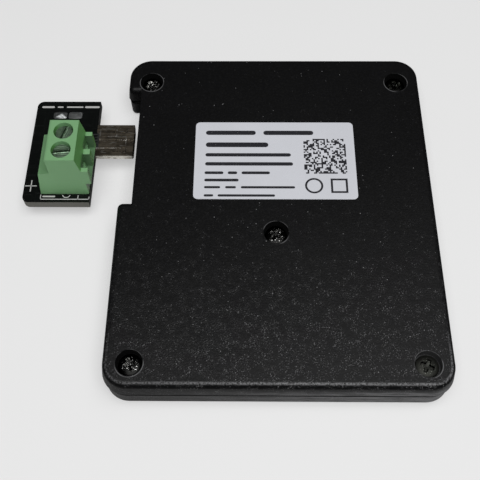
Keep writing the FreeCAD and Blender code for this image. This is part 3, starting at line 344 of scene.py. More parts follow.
def case_plastic(look):
    """Black plastic with a spark-eroded grain, dust and painted glints towards the near end, painted rim and
    edge highlights, a painted sheen and painted shade.
    """
    plastic = Finish("case_black", Specular_IOR_Level=0.165)
    across, along, level = (plastic.axis(letter) for letter in "XYZ")
    towards_right = across.between(-28, 8)
    # Grows towards the near end, where there is more dust and the painted glints and highlights are stronger
    towards_near = along.between(16, -30)
    # Grows towards the near right, where the painted glints and the dust's painted sheen are strongest
    near = along.between(-6, -27) * (0.35 + towards_right * 0.75)
    lit = plastic.near_right()

    grain = plastic.noise(3.1, 3.0, rough=0.6)
    cloud = plastic.noise(0.06, 3.0)
    pits = plastic.noise(4.6, 2.0, rough=0.7)
    cluster = (plastic.noise(0.7, 3.0, rough=0.6) + towards_near * 0.12).between(0.5, 0.72)
    # Painted glints: grain pits painted bright as the light they catch, most towards the near right
    painted_glints = pits.between(0.55, 0.72) * cluster * (0.05 + towards_near * 0.3 + near * 0.65)
    chance = plastic.noise(1.9, 1.0).between(0.46, 0.6)
    # Dust specks, denser towards the near end, where they also stand in for painted glints
    dust_and_glints = plastic.specks(3.6, 0.24) * chance * cluster * (0.35 + towards_near * 0.65)
    flecks = plastic.specks(0.9, 0.09) * plastic.noise(0.5, 2.0).between(0.52, 0.58)

    # Painted highlight along the cover's rounded edge, broken by the grain, strongest at the near end and to
    # the right
    painted_crown_highlight = 1 - abs(plastic.from_outline(*COVER_FLAT) - CROWN_SHIFT).between(0.02, 0.3)
    front = along.between(-20, -30.5) * (0.3 + towards_right * 0.4) + 0.04
    screws = plastic.from_case_screws(BORE_SHIFT)
    # Painted highlights on the rims of the screw bores
    painted_rim_highlights = (1 - abs(screws - BORE_RIM_RADIUS).between(0.02, 0.1)) * (level > 6.9)
    painted_rim_highlights = painted_rim_highlights * plastic.noise(0.3, 3.0).between(0.42, 0.6) * 0.5
    painted_highlights = (painted_crown_highlight * towards_near * front * grain.between(0.35, 0.6)).most(painted_rim_highlights)
    # Painted shade inside the screw bores, except the near right one, which gets painted light
    bore = screws.between(2.5, 2.4) * level.between(7.14, 7.04) * (level > 5.0)
    painted_bore_shade = bore * (1 - lit)

    # Painted sheen on the near wall under the cover's edge, in streaks, brighter to the right
    wall = (0 - plastic.facing("Y")).between(0.5, 0.95) * level.between(6.1, 4.9)
    # Painted shadow line where the cover's edge overhangs the front shell
    parting_shadow = 1 - abs(level - PARTING_SHADE).between(0.2, 0.5)
    streak = plastic.noise(1.0, 3.0, plastic.stretched(0.25, 1.0, 1.6)).between(0.38, 0.62)
    painted_wall_sheen = wall * (1 - parting_shadow) * (0.02 + across.between(-25, 25) * 0.68) * (0.4 + streak * 0.6)

    base = plastic.blend(cloud, tinted(look.plastic, 0.8), tinted(look.plastic, 1.3))
    # The grain's tops lighter, slightly more towards the near end as a painted sheen
    raised = grain.between(0.45, 0.75) * (0.15 + towards_near * 0.05)
    base = plastic.blend(raised, base, tinted(look.plastic, 5.0))
    base = plastic.blend(painted_glints, base, tinted(look.dust_and_highlight, 0.5))
    # Dust, flecks, painted highlights and the painted wall sheen, all in the dust and highlight colour
    bright = (dust_and_glints * (0.85 + near * 0.6)).most(flecks).most(painted_highlights).most(painted_wall_sheen)
    base = plastic.blend(bright, base, look.dust_and_highlight)
    # Painted shadow line below the cover and painted shade in the bores, then painted light in the near
    # right bore
    base = plastic.blend(parting_shadow.most(painted_bore_shade), base, tinted(look.plastic, 0.2))
    plastic.feed("Base Color", plastic.blend(bore * lit, base, tinted(look.dust_and_highlight, 0.25)))
    plastic.feed("Roughness", look.roughness + (cloud - 0.5) * 0.12 + (grain - 0.5) * 0.25 + painted_bore_shade * 0.5)
    relief = grain + (pits - 0.5) * cluster * (0.3 + towards_near * 2.6) + dust_and_glints * 0.4
    plastic.raise_by(relief + level.between(*SHELL_STEP) * 16, look.grain_depth / MM, 0.8)
    return plastic.material


def screw_steel(base):
    """Blackened steel with painted glints on the walls of the cross recess and on the heads, and painted
    light on the near right screw.
    """
    steel = Finish("case_screw_steel", Metallic=1.0)
    cloud = steel.noise(1.2, 3.0)
    middles = steel.from_case_screws()
    lit = steel.near_right()
    walls = (1 - steel.facing("Z").between(0.6, 0.95)) * middles.between(1.2, 1.0)
    sparkle = steel.specks(4.5, 0.32) * middles.between(1.5, 1.1)
    sparkle = sparkle * steel.noise(0.8, 2.0).between(0.42, 0.55)
    # Painted glints on the recess walls, with sparkles near the middle of each head
    painted_highlights = (walls * steel.noise(2.2, 2.0).between(0.44, 0.52) * (1 - lit)).most(sparkle)
    tone = steel.blend(cloud, tinted(base, 0.7), tinted(base, 1.3))
    # Painted light: the near right head lighter where the light falls on it
    tone = steel.blend(lit * (0.5 + cloud * 0.5) * (1 - walls), tone, (0.034, 0.035, 0.031))
    glint = steel.blend(steel.axis("X").between(5, 15), (0.95, 0.95, 0.92), (0.2, 0.21, 0.18))
    steel.feed("Base Color", steel.blend(painted_highlights, tone, glint))
    steel.feed("Roughness", 0.24 + (cloud - 0.5) * 0.15 + (painted_highlights * 0.15).most(lit * 0.3))
    steel.raise_by(cloud + steel.specks(2.6, 0.2), 0.01, 0.5)
    return steel.material


def label_film(look):
    """White film with a faint fibre and clouding."""
    film = Finish("label_white", Specular_IOR_Level=0.4)
    fibre = film.noise(2.2, 4.0)
    cloud = film.noise(0.12, 3.0)
    base = film.blend(cloud, tinted(look.film, 0.94), tinted(look.film, 1.05))
    film.feed("Base Color", film.blend(fibre.between(0.4, 0.8) * 0.25, base, tinted(look.film, 0.88)))
    film.feed("Roughness", 0.38 + (cloud - 0.5) * 0.2 + (fibre - 0.5) * 0.12)
    film.raise_by(fibre + cloud * 2.0, 0.012, 0.5)
    return film.material


def printed(name, base, wear):
    """A printed layer, broken where it is thin."""
    ink = Finish(name, Specular_IOR_Level=0.3)
    thin = ink.noise(3.5, 3.0).between(wear, wear + 0.15)
    ink.feed("Base Color", ink.blend(thin, base, tuple(part * 0.6 + 0.12 for part in base)))
    ink.feed("Roughness", 0.5 + (ink.noise(6.0) - 0.5) * 0.3)
    return ink.material


def board_finish(name, mask, edge, track_shift):
    """Solder mask over copper tracks on the faces, and cut glass laminate on the edges."""
    board = Finish(name, Specular_IOR_Level=0.15)
    side = 1 - abs(board.facing("Z")).between(0.4, 0.6)
    grid = {"voronoi_dimensions": "2D", "feature": "F1", "distance": "CHEBYCHEV"}
    place = board.vector("ADD", board.stretched(1, 1, 1), (track_shift, 3.0, 0.0))
    inputs = {"Vector": place, "Scale": 0.55, "Randomness": 0.35}
    gap = board.node("ShaderNodeTexVoronoi", grid, inputs, "Distance")
    track = 1 - abs(gap - 0.42).between(0.02, 0.045)
    inputs = {"Vector": board.stretched(1, 1, 1), "Scale": 3.4, "Distortion": 1.2}
    weave = board.node("ShaderNodeTexWave", {"bands_direction": "Z"}, inputs)
    face = board.blend(board.noise(0.5, 3.0), tinted(mask, 0.8), tinted(mask, 1.2))
    face = board.blend(track, face, tinted(mask, 1.4))
    cut = board.blend(weave * 0.6, edge, tinted(edge, 0.55))
    cut = board.blend(board.noise(4.0, 3.0).between(0.5, 0.8) * 0.5, cut, tinted(edge, 1.4))
    # Painted shade: the edges that face +X darker
    cut = board.blend(board.facing("X").between(0.3, 0.7), cut, tinted(edge, 0.12))
    board.feed("Base Color", board.blend(side, face, cut))
    board.feed("Roughness", 0.24 + side * 0.45 + (board.noise(2.0) - 0.5) * 0.12)
    board.raise_by(track * (1 - side) * 0.5 + board.noise(5.0) * (0.15 + side * 0.8), 0.03, 0.6)
    return board.material


def bare_metal(name, base, dark, roughness=0.3, brush=(0.3, 6.0, 6.0), pitting=0.3):
    """Plated or brushed metal with fine scratches, dull patches and dark pits."""
    metal = Finish(name, Metallic=1.0)
    brushed = metal.noise(1.0, 4.0, metal.stretched(*brush), 0.6)
    patch = metal.noise(0.9, 4.0)
    pits = metal.specks(2.6, 0.2) * pitting
    tone = metal.blend(patch.between(0.35, 0.7), base, dark)
    tone = metal.blend(brushed.between(0.55, 0.8) * 0.5, tone, tinted(base, 1.7))
    metal.feed("Base Color", metal.blend(pits, tone, tinted(dark, 0.5)))
    metal.feed("Roughness", roughness + (brushed - 0.5) * 0.3 + (patch - 0.5) * 0.18 + pits * 0.3)
    metal.raise_by(brushed + pits, 0.01, 0.5)
    return metal.material


PLUG_TONGUE = (-29.7, 14.6, 2.9, 1.27)  # middle X and Y, half length, half width
PLUG_FAR_PANEL = (-30.1, 16.75, 1.5, 0.85)
PLUG_SEAM_Y = 15.05


def plug_steel(base):
    """Stained plug steel: a seam, two raised panels, painted highlight lines at their edges, bright scuffs
    and a painted highlight on the near side.
    """
    steel = Finish("plug_steel", Metallic=1.0)
    brushed = steel.noise(1.0, 4.0, steel.stretched(0.35, 4.0, 4.0), 0.6)
    stain = steel.noise(0.9, 4.0, steel.stretched(0.5, 1.3, 1.3), 0.6)
    scuffs = steel.noise(1.4, 3.0, steel.stretched(0.6, 2.5, 2.5)).between(0.6, 0.67)
    upward = steel.facing("Z").between(0.4, 0.8)
    tongue, far_panel = steel.from_panel(*PLUG_TONGUE), steel.from_panel(*PLUG_FAR_PANEL)
    # Painted highlight lines along the edges of the raised panels
    highlight_lines = (1 - abs(tongue).between(0.04, 0.14)).most(1 - abs(far_panel).between(0.04, 0.14))
    seam = 1 - abs(steel.axis("Y") - PLUG_SEAM_Y).between(0.03, 0.09)
    tone = steel.blend(stain.between(0.38, 0.62), tinted(base, 1.15), tinted(base, 0.38))
    tone = steel.blend(brushed.between(0.5, 0.8) * 0.5, tone, tinted(base, 1.6))
    tone = steel.blend(seam * upward * 0.7, tone, tinted(base, 0.2))
    # The painted highlight lines and bright scuffs, only on faces that look up
    bright = (highlight_lines * steel.noise(1.3, 2.0).between(0.4, 0.55) * 0.85).most(scuffs * 0.55)
    tone = steel.blend(bright * upward, tone, (0.8, 0.78, 0.72))
    # Painted highlight on the side that faces the viewer, patchy
    uneven = 0.45 + steel.noise(1.6, 2.0).between(0.38, 0.55) * 0.55
    near_side_highlight = (0 - steel.facing("Y")).between(0.3, 0.8) * uneven
    steel.feed("Base Color", steel.blend(near_side_highlight, tone, (0.95, 0.92, 0.84)))
    steel.feed("Roughness", 0.27 + (brushed - 0.5) * 0.3 + (stain - 0.5) * 0.25)
    panels = (1 - tongue.between(-0.1, 0.1)).most(1 - far_panel.between(-0.1, 0.1))
    steel.raise_by(panels * 2.0 - seam + brushed * 0.3, 0.02, 0.6)
    return steel.material


def moulded(name, base, roughness=0.4, grain=4.0, depth=0.012):
    """Injection-moulded plastic: a faint grain, flow marks and slightly uneven colour."""
    plastic = Finish(name)
    flow = plastic.noise(0.35, 3.0, plastic.stretched(1, 1, 0.4))
    fine = plastic.noise(grain, 3.0)
    tone = plastic.blend(flow, tinted(base, 0.9), tinted(base, 1.1))
    plastic.feed("Base Color", plastic.blend(fine.between(0.5, 0.8) * 0.3, tone, tinted(base, 1.25)))
    plastic.feed("Roughness", roughness + (flow - 0.5) * 0.14 + (fine - 0.5) * 0.2)
    plastic.raise_by(fine + flow * 1.5, depth, 0.6)
    return plastic.material


POLES_Y = (9.605, 5.795)
ENTRY_RADIUS = 1.37
ENTRY_FUNNEL_END_X = -32.6
SHELF_X = (-37.4, -38.1)  # where the low shelf behind the terminal's deck starts


def terminal_plastic(base):
    """Green moulded plastic, with painted shade on the low shelf, on the slope and in the wire entries, and
    painted light on the near face.
    """
    plastic = Finish("terminal_green", Specular_IOR_Level=0.4)
    flow = plastic.noise(0.35, 3.0, plastic.stretched(1, 1, 0.4))
    fine = plastic.noise(3.0, 3.0)
    across, along = plastic.axis("X"), plastic.axis("Y")
    slope = plastic.facing("X").between(0.3, 0.8)
    near_face = (0 - plastic.facing("Y")).between(0.5, 0.95)
    from_pole = abs(along - POLES_Y[0]).least(abs(along - POLES_Y[1]))
    entries = across.between(ENTRY_FUNNEL_END_X, ENTRY_FUNNEL_END_X + 0.1)
    entries = entries * (1 - from_pole.between(ENTRY_RADIUS, ENTRY_RADIUS + 0.05))
    # Painted shade on the low shelf behind the deck
    tone = plastic.blend(across.between(*SHELF_X) * 0.85, base, tinted(base, 0.68))
    # Painted shade on the slope that faces +X, in a deeper green
    tone = plastic.blend(slope, tone, (base[0] * 0.75, base[1] * 1.02, base[2] * 0.6))
    # Painted light on the face towards the viewer
    tone = plastic.blend(near_face, tone, tinted(base, 1.3))
    # Painted shade in the wire entries
    tone = plastic.blend(entries * 0.75, tone, tinted(base, 0.3))
    tone = plastic.blend(flow * 0.12, tone, tinted(base, 0.5))
    plastic.feed("Base Color", plastic.blend(fine.between(0.5, 0.8) * 0.15, tone, tinted(base, 1.5)))
    plastic.feed("Roughness", 0.42 + (flow - 0.5) * 0.14 + (fine - 0.5) * 0.2)
    plastic.raise_by(fine + flow * 1.5, 0.02, 0.6)
    return plastic.material


def clear_light(base):
    """A clear moulded light pipe, a little hazy inside."""
    clear = Finish("light_clear", Transmission_Weight=0.6, IOR=1.49)
    haze = clear.noise(1.2, 3.0)
    clear.feed("Base Color", clear.blend(haze, tinted(base, 0.85), base))
    clear.feed("Roughness", 0.12 + haze * 0.2)
    clear.raise_by(haze, 0.01, 0.4)
    return clear.material


def coloured_node(node, material):
    """Gives a CAD node its finish."""
    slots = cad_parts[node].data.materials
    slots.clear()
    slots.append(material)


# Mesh work

SPOKES = 72
DISC_RINGS = 22
RINGS_PER_TURN = 6
SHARP_ANGLE = math.radians(35.0)


def piece(name, mesh, material, body, replaces=()):
    """Turns a mesh being built, in millimetres, into a piece that rides on a CAD body."""
    data = bpy.data.meshes.new(name)
    bmesh.ops.scale(mesh, vec=(MM, MM, MM), verts=mesh.verts)
    bmesh.ops.recalc_face_normals(mesh, faces=mesh.faces)
    for edge in mesh.edges:
        edge.smooth = len(edge.link_faces) == 2 and edge.calc_face_angle(0.0) < SHARP_ANGLE
    for face in mesh.faces:
        face.smooth = True
    mesh.to_mesh(data)
    mesh.free()
    data.materials.append(material)
    made = bpy.data.objects.new(name, data)
    bpy.context.scene.collection.objects.link(made)
    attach(made, body)
    if replaces:
        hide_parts(*replaces)


def add_slab(mesh, x, y, z):
    """A closed block between two corners, each axis given as its two ends."""
    outline = ((0, 0), (1, 0), (1, 1), (0, 1))
    corners = [mesh.verts.new((x[i], y[j], z[k])) for k in (0, 1) for i, j in outline]
    sides = ((3, 2, 1, 0), (4, 5, 6, 7), (0, 1, 5, 4), (1, 2, 6, 5), (2, 3, 7, 6), (3, 0, 4, 7))
    for side in sides:
        mesh.faces.new([corners[index] for index in side])


def ring(mesh, x, y, z, radius, spokes, part=1.0):
    """A loop of points at a part of a radius, which is a number or is worked out for each angle."""
    loop = []
    for spoke in range(spokes):
        angle = 2 * math.pi * spoke / spokes
        reach = (radius(angle) if callable(radius) else radius) * part
        loop.append(mesh.verts.new((x + reach * math.cos(angle), y + reach * math.sin(angle), z)))
    return loop


def join_rings(mesh, first, second):
    """Faces between two loops of as many points."""
    count = len(first)
    for index in range(count):
        after = (index + 1) % count
        mesh.faces.new((first[index], first[after], second[after], second[index]))


def add_carved_disc(mesh, x, y, radius, height, rings=DISC_RINGS, spokes=SPOKES):
    """A disc whose height is worked out for each place on it. Returns its rim."""
    middle = mesh.verts.new((x, y, height(0.0, 0.0)))
    before = None
    for step in range(1, rings + 1):
        loop = ring(mesh, x, y, 0.0, radius, spokes, step / rings)
        for point in loop:
            point.co.z = height(point.co.x - x, point.co.y - y)
        if before is None:
            for index in range(spokes):
                mesh.faces.new((middle, loop[index], loop[(index + 1) % spokes]))
        else:
            join_rings(mesh, before, loop)
        before = loop
    return before


def add_turned(mesh, rim, x, y, profile):
    """Carries a rim down through rings of (radius, height) and closes the end."""
    before = rim
    for radius, z in profile:
        loop = ring(mesh, x, y, z, radius, SPOKES)
        join_rings(mesh, before, loop)
        before = loop
    mesh.faces.new(before)


def thread(top, bottom, core, crest, pitch):
    """The profile of a screw's thread from top to bottom, as rings with a helical radius."""
    profile = []
    count = int(round((top - bottom) / pitch * RINGS_PER_TURN))
    for step in range(count + 1):
        z = top - (top - bottom) * step / count

        def reach(angle, z=z):
            turn = (z / pitch + angle / (2 * math.pi)) % 1.0
            return core + (crest - core) * (1 - abs(2 * turn - 1)) ** 1.5

        profile.append((reach, z))
    return profile


def turned_about(dx, dy, angle):
    """A place in the coordinates of a slot or cross turned by an angle."""
    return dx * math.cos(angle) + dy * math.sin(angle), dy * math.cos(angle) - dx * math.sin(angle)


# Case screws

CASE_SCREWS = (
    # X, Y, turn of the cross
    (-SCREW_X, SCREW_NEAR_Y, 0.35),
    (SCREW_X, SCREW_NEAR_Y, 1.12),
    (-SCREW_X, SCREW_FAR_Y, 0.62),
    (SCREW_X, SCREW_FAR_Y, 0.2),
    (0.0, SCREW_MIDDLE_Y, 0.93),
)
CASE_SCREW_SEAT = 5.5
CASE_SCREW_HEAD = 1.85  # radius
CASE_SCREW_THREAD = (0.78, 1.0, 0.45)  # core and crest radius, pitch
CROSS_ARM, CROSS_HALF_WIDTH, CROSS_DEPTH = 1.15, 0.27, 0.6


def cross_head(turn, top, radius):
    """The height of a domed head with a cross recess."""

    def height(dx, dy):
        reach = math.hypot(dx, dy)
        z = top - 0.05 - 0.38 * (reach / radius) ** 2.6
        u, v = turned_about(dx, dy, turn)
        along, across = max(abs(u), abs(v)), min(abs(u), abs(v))
        half = CROSS_HALF_WIDTH * (1.25 - 0.4 * along / CROSS_ARM)
        wall = smooth_step((half - across) / 0.1 + 0.5)
        end = smooth_step((CROSS_ARM - along) / 0.22)
        bowl = smooth_step((0.55 - reach) / 0.22)
        floor = CROSS_DEPTH * (1 - 0.45 * along / CROSS_ARM)
        return z - max(floor * wall * end, CROSS_DEPTH * 0.92 * bowl)

    return height


def make_case_screws(look):
    """Five screws with domed heads, cross recesses and threads, as one piece."""
    mesh = bmesh.new()
    seat, head = CASE_SCREW_SEAT, CASE_SCREW_HEAD
    top, bottom = high("case_screws").z, low("case_screws").z
    for x, y, turn in CASE_SCREWS:
        rim = add_carved_disc(mesh, x, y, head - 0.08, cross_head(turn, top, head))
        profile = [(head, seat + 0.42), (head, seat + 0.06), (head - 0.06, seat)]
        profile += [(1.0, seat), (0.8, seat - 0.2)]
        profile += thread(seat - 0.35, bottom + 0.5, *CASE_SCREW_THREAD)
        add_turned(mesh, rim, x, y, profile + [(0.5, bottom)])
    piece("case_screw_set", mesh, screw_steel(look.screw_steel), "case", ["case_screws"])


# Label print

PRINT_ROWS = (
    # left, right, middle, thickness, length of each bar against the others
    (-12.15, 6.88, 14.6, 0.92, (6, 6)),
    (-12.1, -1.1, 12.0, 1.0, (7,)),
    (-12.1, 2.8, 9.85, 0.7, (12,)),
    (-12.1, 3.13, 7.95, 0.7, (12,)),
    (-12.15, -0.88, 6.1, 0.55, (4, 2, 6)),
    (-12.15, -6.26, 4.6, 0.55, (8,)),
    (-12.15, 3.35, 3.15, 0.45, (3, 2, 10)),
    (-12.15, -0.08, 1.5, 0.45, (2, 12)),
)
WORD_GAP = 0.9  # against the unit of the bars' lengths
CODE_CORNER = (5.05, 5.95)
CODE_SIDE = 7.35
CODE_CELLS = 27
CODE_FILLED = 0.47
RING_MARK = (6.6, 3.5, 1.55, 1.2)  # middle X and Y, outer and inner radius
SQUARE_MARK = (9.45, 12.35, 2.05, 4.95, 0.36)  # left, right, near and far side, stroke
INK_ROOT = 0.02  # how far print reaches into what carries it


def add_ink(mesh, x0, x1, y0, y1, base, height):
    """A rectangle of print on a level face."""
    add_slab(mesh, (x0, x1), (y0, y1), (base - INK_ROOT, base + height))


def add_open_square(mesh, x0, x1, y0, y1, stroke, base, height):
    """Four strokes round a square."""
    add_ink(mesh, x0, x0 + stroke, y0, y1, base, height)
    add_ink(mesh, x1 - stroke, x1, y0, y1, base, height)
    add_ink(mesh, x0 + stroke, x1 - stroke, y0, y0 + stroke, base, height)
    add_ink(mesh, x0 + stroke, x1 - stroke, y1 - stroke, y1, base, height)


def add_bar(mesh, x0, x1, y, thickness, base, height):
    """A bar with rounded ends, in the place of a printed word."""
    half, steps = thickness / 2, 6
    outline = []
    for x, first in ((x1 - half, -math.pi / 2), (x0 + half, math.pi / 2)):
        for step in range(steps + 1):
            angle = first + math.pi * step / steps
            outline.append((x + half * math.cos(angle), y + half * math.sin(angle)))
    levels = (base - INK_ROOT, base + height)
    lower, upper = ([mesh.verts.new((x, y, z)) for x, y in outline] for z in levels)
    join_rings(mesh, lower, upper)
    mesh.faces.new(lower)
    mesh.faces.new(upper)


def add_print_row(mesh, row, base, height):
    """A row of plain bars, one for each word."""
    left, right, middle, thickness, words = row
    step = (right - left) / (sum(words) + WORD_GAP * (len(words) - 1))
    x = left
    for word in words:
        add_bar(mesh, x, x + word * step, middle, thickness, base, height)
        x += (word + WORD_GAP) * step


def add_band(mesh, x, y, outer, inner, base, height, start=0.0, end=2 * math.pi, steps=48):
    """A flat curved band between two radii, as a raised print."""
    rows = []
    root, top = base - INK_ROOT, base + height
    section = ((inner, root), (outer, root), (outer, top), (inner, top))
    for step in range(steps + 1):
        angle = start + (end - start) * step / steps
        along, aside = math.cos(angle), math.sin(angle)
        rows.append([mesh.verts.new((x + r * along, y + r * aside, z)) for r, z in section])
    for before, after in zip(rows, rows[1:]):
        for index in range(4):
            following = (index + 1) % 4
            mesh.faces.new((before[index], before[following], after[following], after[index]))
    if end - start < 2 * math.pi - 0.01:
        mesh.faces.new(rows[0])
        mesh.faces.new(rows[-1])
    else:
        bmesh.ops.remove_doubles(mesh, verts=rows[0] + rows[-1], dist=0.0001)


def make_label_print(look):
    """Plain bars, a block of random squares, a ring and an open square."""
    mesh = bmesh.new()
    draw = random.Random(look.seed)
    height = look.ink_height / MM
    for row in PRINT_ROWS:
        add_print_row(mesh, row, LABEL_TOP, height)
    cell = CODE_SIDE / CODE_CELLS
    for column in range(CODE_CELLS):
        for line in range(CODE_CELLS):
            if draw.random() < CODE_FILLED:
                x, y = CODE_CORNER[0] + column * cell, CODE_CORNER[1] + line * cell
                add_ink(mesh, x, x + cell, y, y + cell, LABEL_TOP, height)
    add_band(mesh, *RING_MARK, LABEL_TOP, height)
    add_open_square(mesh, *SQUARE_MARK, LABEL_TOP, height)
    piece("label_print", mesh, printed("label_ink", look.ink, 0.62), "case")


# Adapter board

# Places on the board are given from its middle
MARK_HEIGHT = 0.02
PLUS_STROKES = (
    # left, right, near side, far side
    (-5.65, -3.6, -7.78, -7.6),
    (-4.72, -4.54, -8.85, -6.5),
)
TERMINAL_OUTLINE = (
    (-2.72, 5.85, -10.5, -10.35),
    (-2.72, -2.58, -10.5, -9.5),
    (3.8, 3.94, -10.5, -9.6),
    (5.72, 5.85, -10.5, -9.9),
)
BOARD_BARS = (
    # left, right, Y, thickness
    (-2.35, -0.1, -9.87, 0.3),
    (-5.0, -2.65, 9.75, 0.42),
    (-2.1, -1.0, 9.75, 0.3),
    (-0.4, 2.7, 9.75, 0.3),
    (3.0, 5.75, 9.75, 0.42),
)
BOARD_ARC = (1.8, -9.4, 0.75, 0.6)  # X, Y, outer and inner radius
BOARD_ARC_ENDS = (math.pi * 1.08, math.pi * 1.92)


def make_silkscreen(look):
    """The printed plus, the terminal's outline and blank marks."""
    mesh = bmesh.new()
    for left, right, near, far in PLUS_STROKES + TERMINAL_OUTLINE:
        add_ink(mesh, BOARD_X + left, BOARD_X + right, BOARD_Y + near, BOARD_Y + far, BOARD_TOP, MARK_HEIGHT)
    for left, right, y, thickness in BOARD_BARS:
        add_bar(mesh, BOARD_X + left, BOARD_X + right, BOARD_Y + y, thickness, BOARD_TOP, MARK_HEIGHT)
    x, y, outer, inner = BOARD_ARC
    add_band(mesh, BOARD_X + x, BOARD_Y + y, outer, inner, BOARD_TOP, MARK_HEIGHT, *BOARD_ARC_ENDS, steps=16)
    ink = printed("silkscreen_white", look.silkscreen, 0.66)
    piece("board_marks", mesh, ink, "adapter")


PAD_HALF_X, PAD_HALF_Y = 1.25, 0.75
PADS = (
    # X, Y, rise of the solder, turn of its lumps
    (-39.43, 20.75, 0.42, 0.4),
    (-36.63, 20.75, 0.05, 2.0),
)
PAD_RINGS = 14
PAD_SPOKES = 64


def pad_edge(angle):
    """How far a pad's round-cornered outline is from its middle."""
    across, up = abs(math.cos(angle)) / PAD_HALF_X, abs(math.sin(angle)) / PAD_HALF_Y
    return (across ** 5 + up ** 5) ** -0.2


def solder_mound(rise, wobble):
    """The height of solder that rises to the pad's middle in soft lumps."""

    def height(dx, dy):
        share_out = min(math.hypot(dx, dy) / pad_edge(math.atan2(dy, dx)), 1.0)
        lump = 0.5 + 0.5 * math.sin(dx * 3.1 + wobble) * math.cos(dy * 4.2 - wobble)
        return BOARD_TOP + 0.045 + rise * (1 - share_out ** 2.2) * (0.65 + 0.5 * lump)

    return height


def make_solder_pads(look):
    """Two tinned pads, one with a mound of solder on it. Returns the solder's finish."""
    mesh = bmesh.new()
    for x, y, rise, wobble in PADS:
        rim = add_carved_disc(mesh, x, y, pad_edge, solder_mound(rise, wobble), PAD_RINGS, PAD_SPOKES)
        base = ring(mesh, x, y, BOARD_TOP - 0.01, pad_edge, PAD_SPOKES)
        join_rings(mesh, rim, base)
        mesh.faces.new(base)
    dark = tinted(look.solder, 0.6)
    tin = bare_metal("solder_tin", look.solder, dark, 0.48, brush=(1.5, 1.5, 1.5), pitting=0.2)
    piece("tinned_pads", mesh, tin, "adapter", ["solder_pads"])
    return tin


# Terminal screws

CLAMP_HEAD_BOTTOM = 13.15
CLAMP_SCREW_THREAD = (0.82, 0.99, 0.4)  # core and crest radius, pitch
CLAMP_SLOT_WIDTH, CLAMP_SLOT_DEPTH = 0.3, 0.4
CLAMP_SCREW_TURNS = {"near": 0.12, "far": 1.3}


def slotted_head(turn, top, radius):
    """The height of a slotted head with a dished face and worn slot edges."""

    def height(dx, dy):
        reach = math.hypot(dx, dy)
        rim = smooth_step((radius - reach) / 0.14)
        u, v = turned_about(dx, dy, turn)
        slot = smooth_step((CLAMP_SLOT_WIDTH / 2 - abs(v)) / 0.07 + 0.5)
        lip = math.exp(-((abs(v) - CLAMP_SLOT_WIDTH / 2 - 0.09) / 0.07) ** 2) * 0.05
        ripple = 0.014 * math.sin(19.0 * v + 0.8 * math.sin(2.4 * u)) + 0.006 * math.sin(31.0 * v + 2.0)
        return top - 0.16 + 0.12 * rim + (lip + ripple) * rim - CLAMP_SLOT_DEPTH * slot

    return height


def make_terminal_screws(steel):
    """Two clamping screws with slotted heads and threads, each on its own body."""
    under = CLAMP_HEAD_BOTTOM
    for end, turn in CLAMP_SCREW_TURNS.items():
        node = f"terminal_screw_{end}"
        lowest, highest = low(node), high(node)
        x, y = (lowest.x + highest.x) / 2, (lowest.y + highest.y) / 2
        head = (highest.x - lowest.x) / 2
        mesh = bmesh.new()
        rim = add_carved_disc(mesh, x, y, head - 0.05, slotted_head(turn, highest.z, head))
        profile = [(head, highest.z - 0.25), (head, under + 0.05), (head - 0.05, under), (1.0, under)]
        profile += thread(under - 0.25, lowest.z + 0.3, *CLAMP_SCREW_THREAD)
        add_turned(mesh, rim, x, y, profile + [(0.6, lowest.z)])
        piece(f"clamp_screw_{end}", mesh, steel, f"screw_{end}", [node])


# Operators


class PieceMaker:
    """What the operators share: their place in the panel and their undo step."""
    bl_options = {"REGISTER", "UNDO"}


class BEACON_OT_case(PieceMaker, bpy.types.Operator):
    """Finishes the two case halves, the button and the light"""
    bl_idname = "beacon.finish_case"
    bl_label = "Finish Case"

    def execute(self, context):
        look = context.scene.beacon_case
        plastic = case_plastic(look)
        for node in ("front_shell", "back_cover", "front_button"):
            coloured_node(node, plastic)
        clear = clear_light((0.8, 0.82, 0.82))
        for node in ("light_pipe", "status_led"):
            coloured_node(node, clear)
        return {"FINISHED"}


class BEACON_OT_case_screws(PieceMaker, bpy.types.Operator):
    """Makes the five cross-head case screws"""
    bl_idname = "beacon.make_case_screws"
    bl_label = "Make Case Screws"

    def execute(self, context):
        make_case_screws(context.scene.beacon_case)
        return {"FINISHED"}


class BEACON_OT_label(PieceMaker, bpy.types.Operator):
    """Finishes the label and prints blank marks on it"""
    bl_idname = "beacon.make_label"
    bl_label = "Make Label"

    def execute(self, context):
        look = context.scene.beacon_label
        coloured_node("back_label", label_film(look))
        make_label_print(look)
        return {"FINISHED"}


class BEACON_OT_adapter(PieceMaker, bpy.types.Operator):
    """Finishes the adapter's board, plug and terminal, and makes its marks, pads and screws"""
    bl_idname = "beacon.make_adapter"
    bl_label = "Make Adapter"

    def execute(self, context):
        look = context.scene.beacon_adapter
        coloured_node("module_board", board_finish("adapter_board", look.mask, look.board_edge, 1.5))
        make_silkscreen(look)
        tin = make_solder_pads(look)
        coloured_node("solder_joints", tin)
        plug = plug_steel(look.plug)
        for node in ("plug_shell", "plug_latches"):
            coloured_node(node, plug)
        clamp = bare_metal("clamp_steel", look.clamp, tinted(look.clamp, 0.5), 0.48, brush=(3.0, 3.0, 3.0))
        for node in ("wire_cage_near", "wire_cage_far"):
            coloured_node(node, clamp)
        make_terminal_screws(clamp)
        coloured_node("terminal_housing", terminal_plastic(look.terminal))
        return {"FINISHED"}


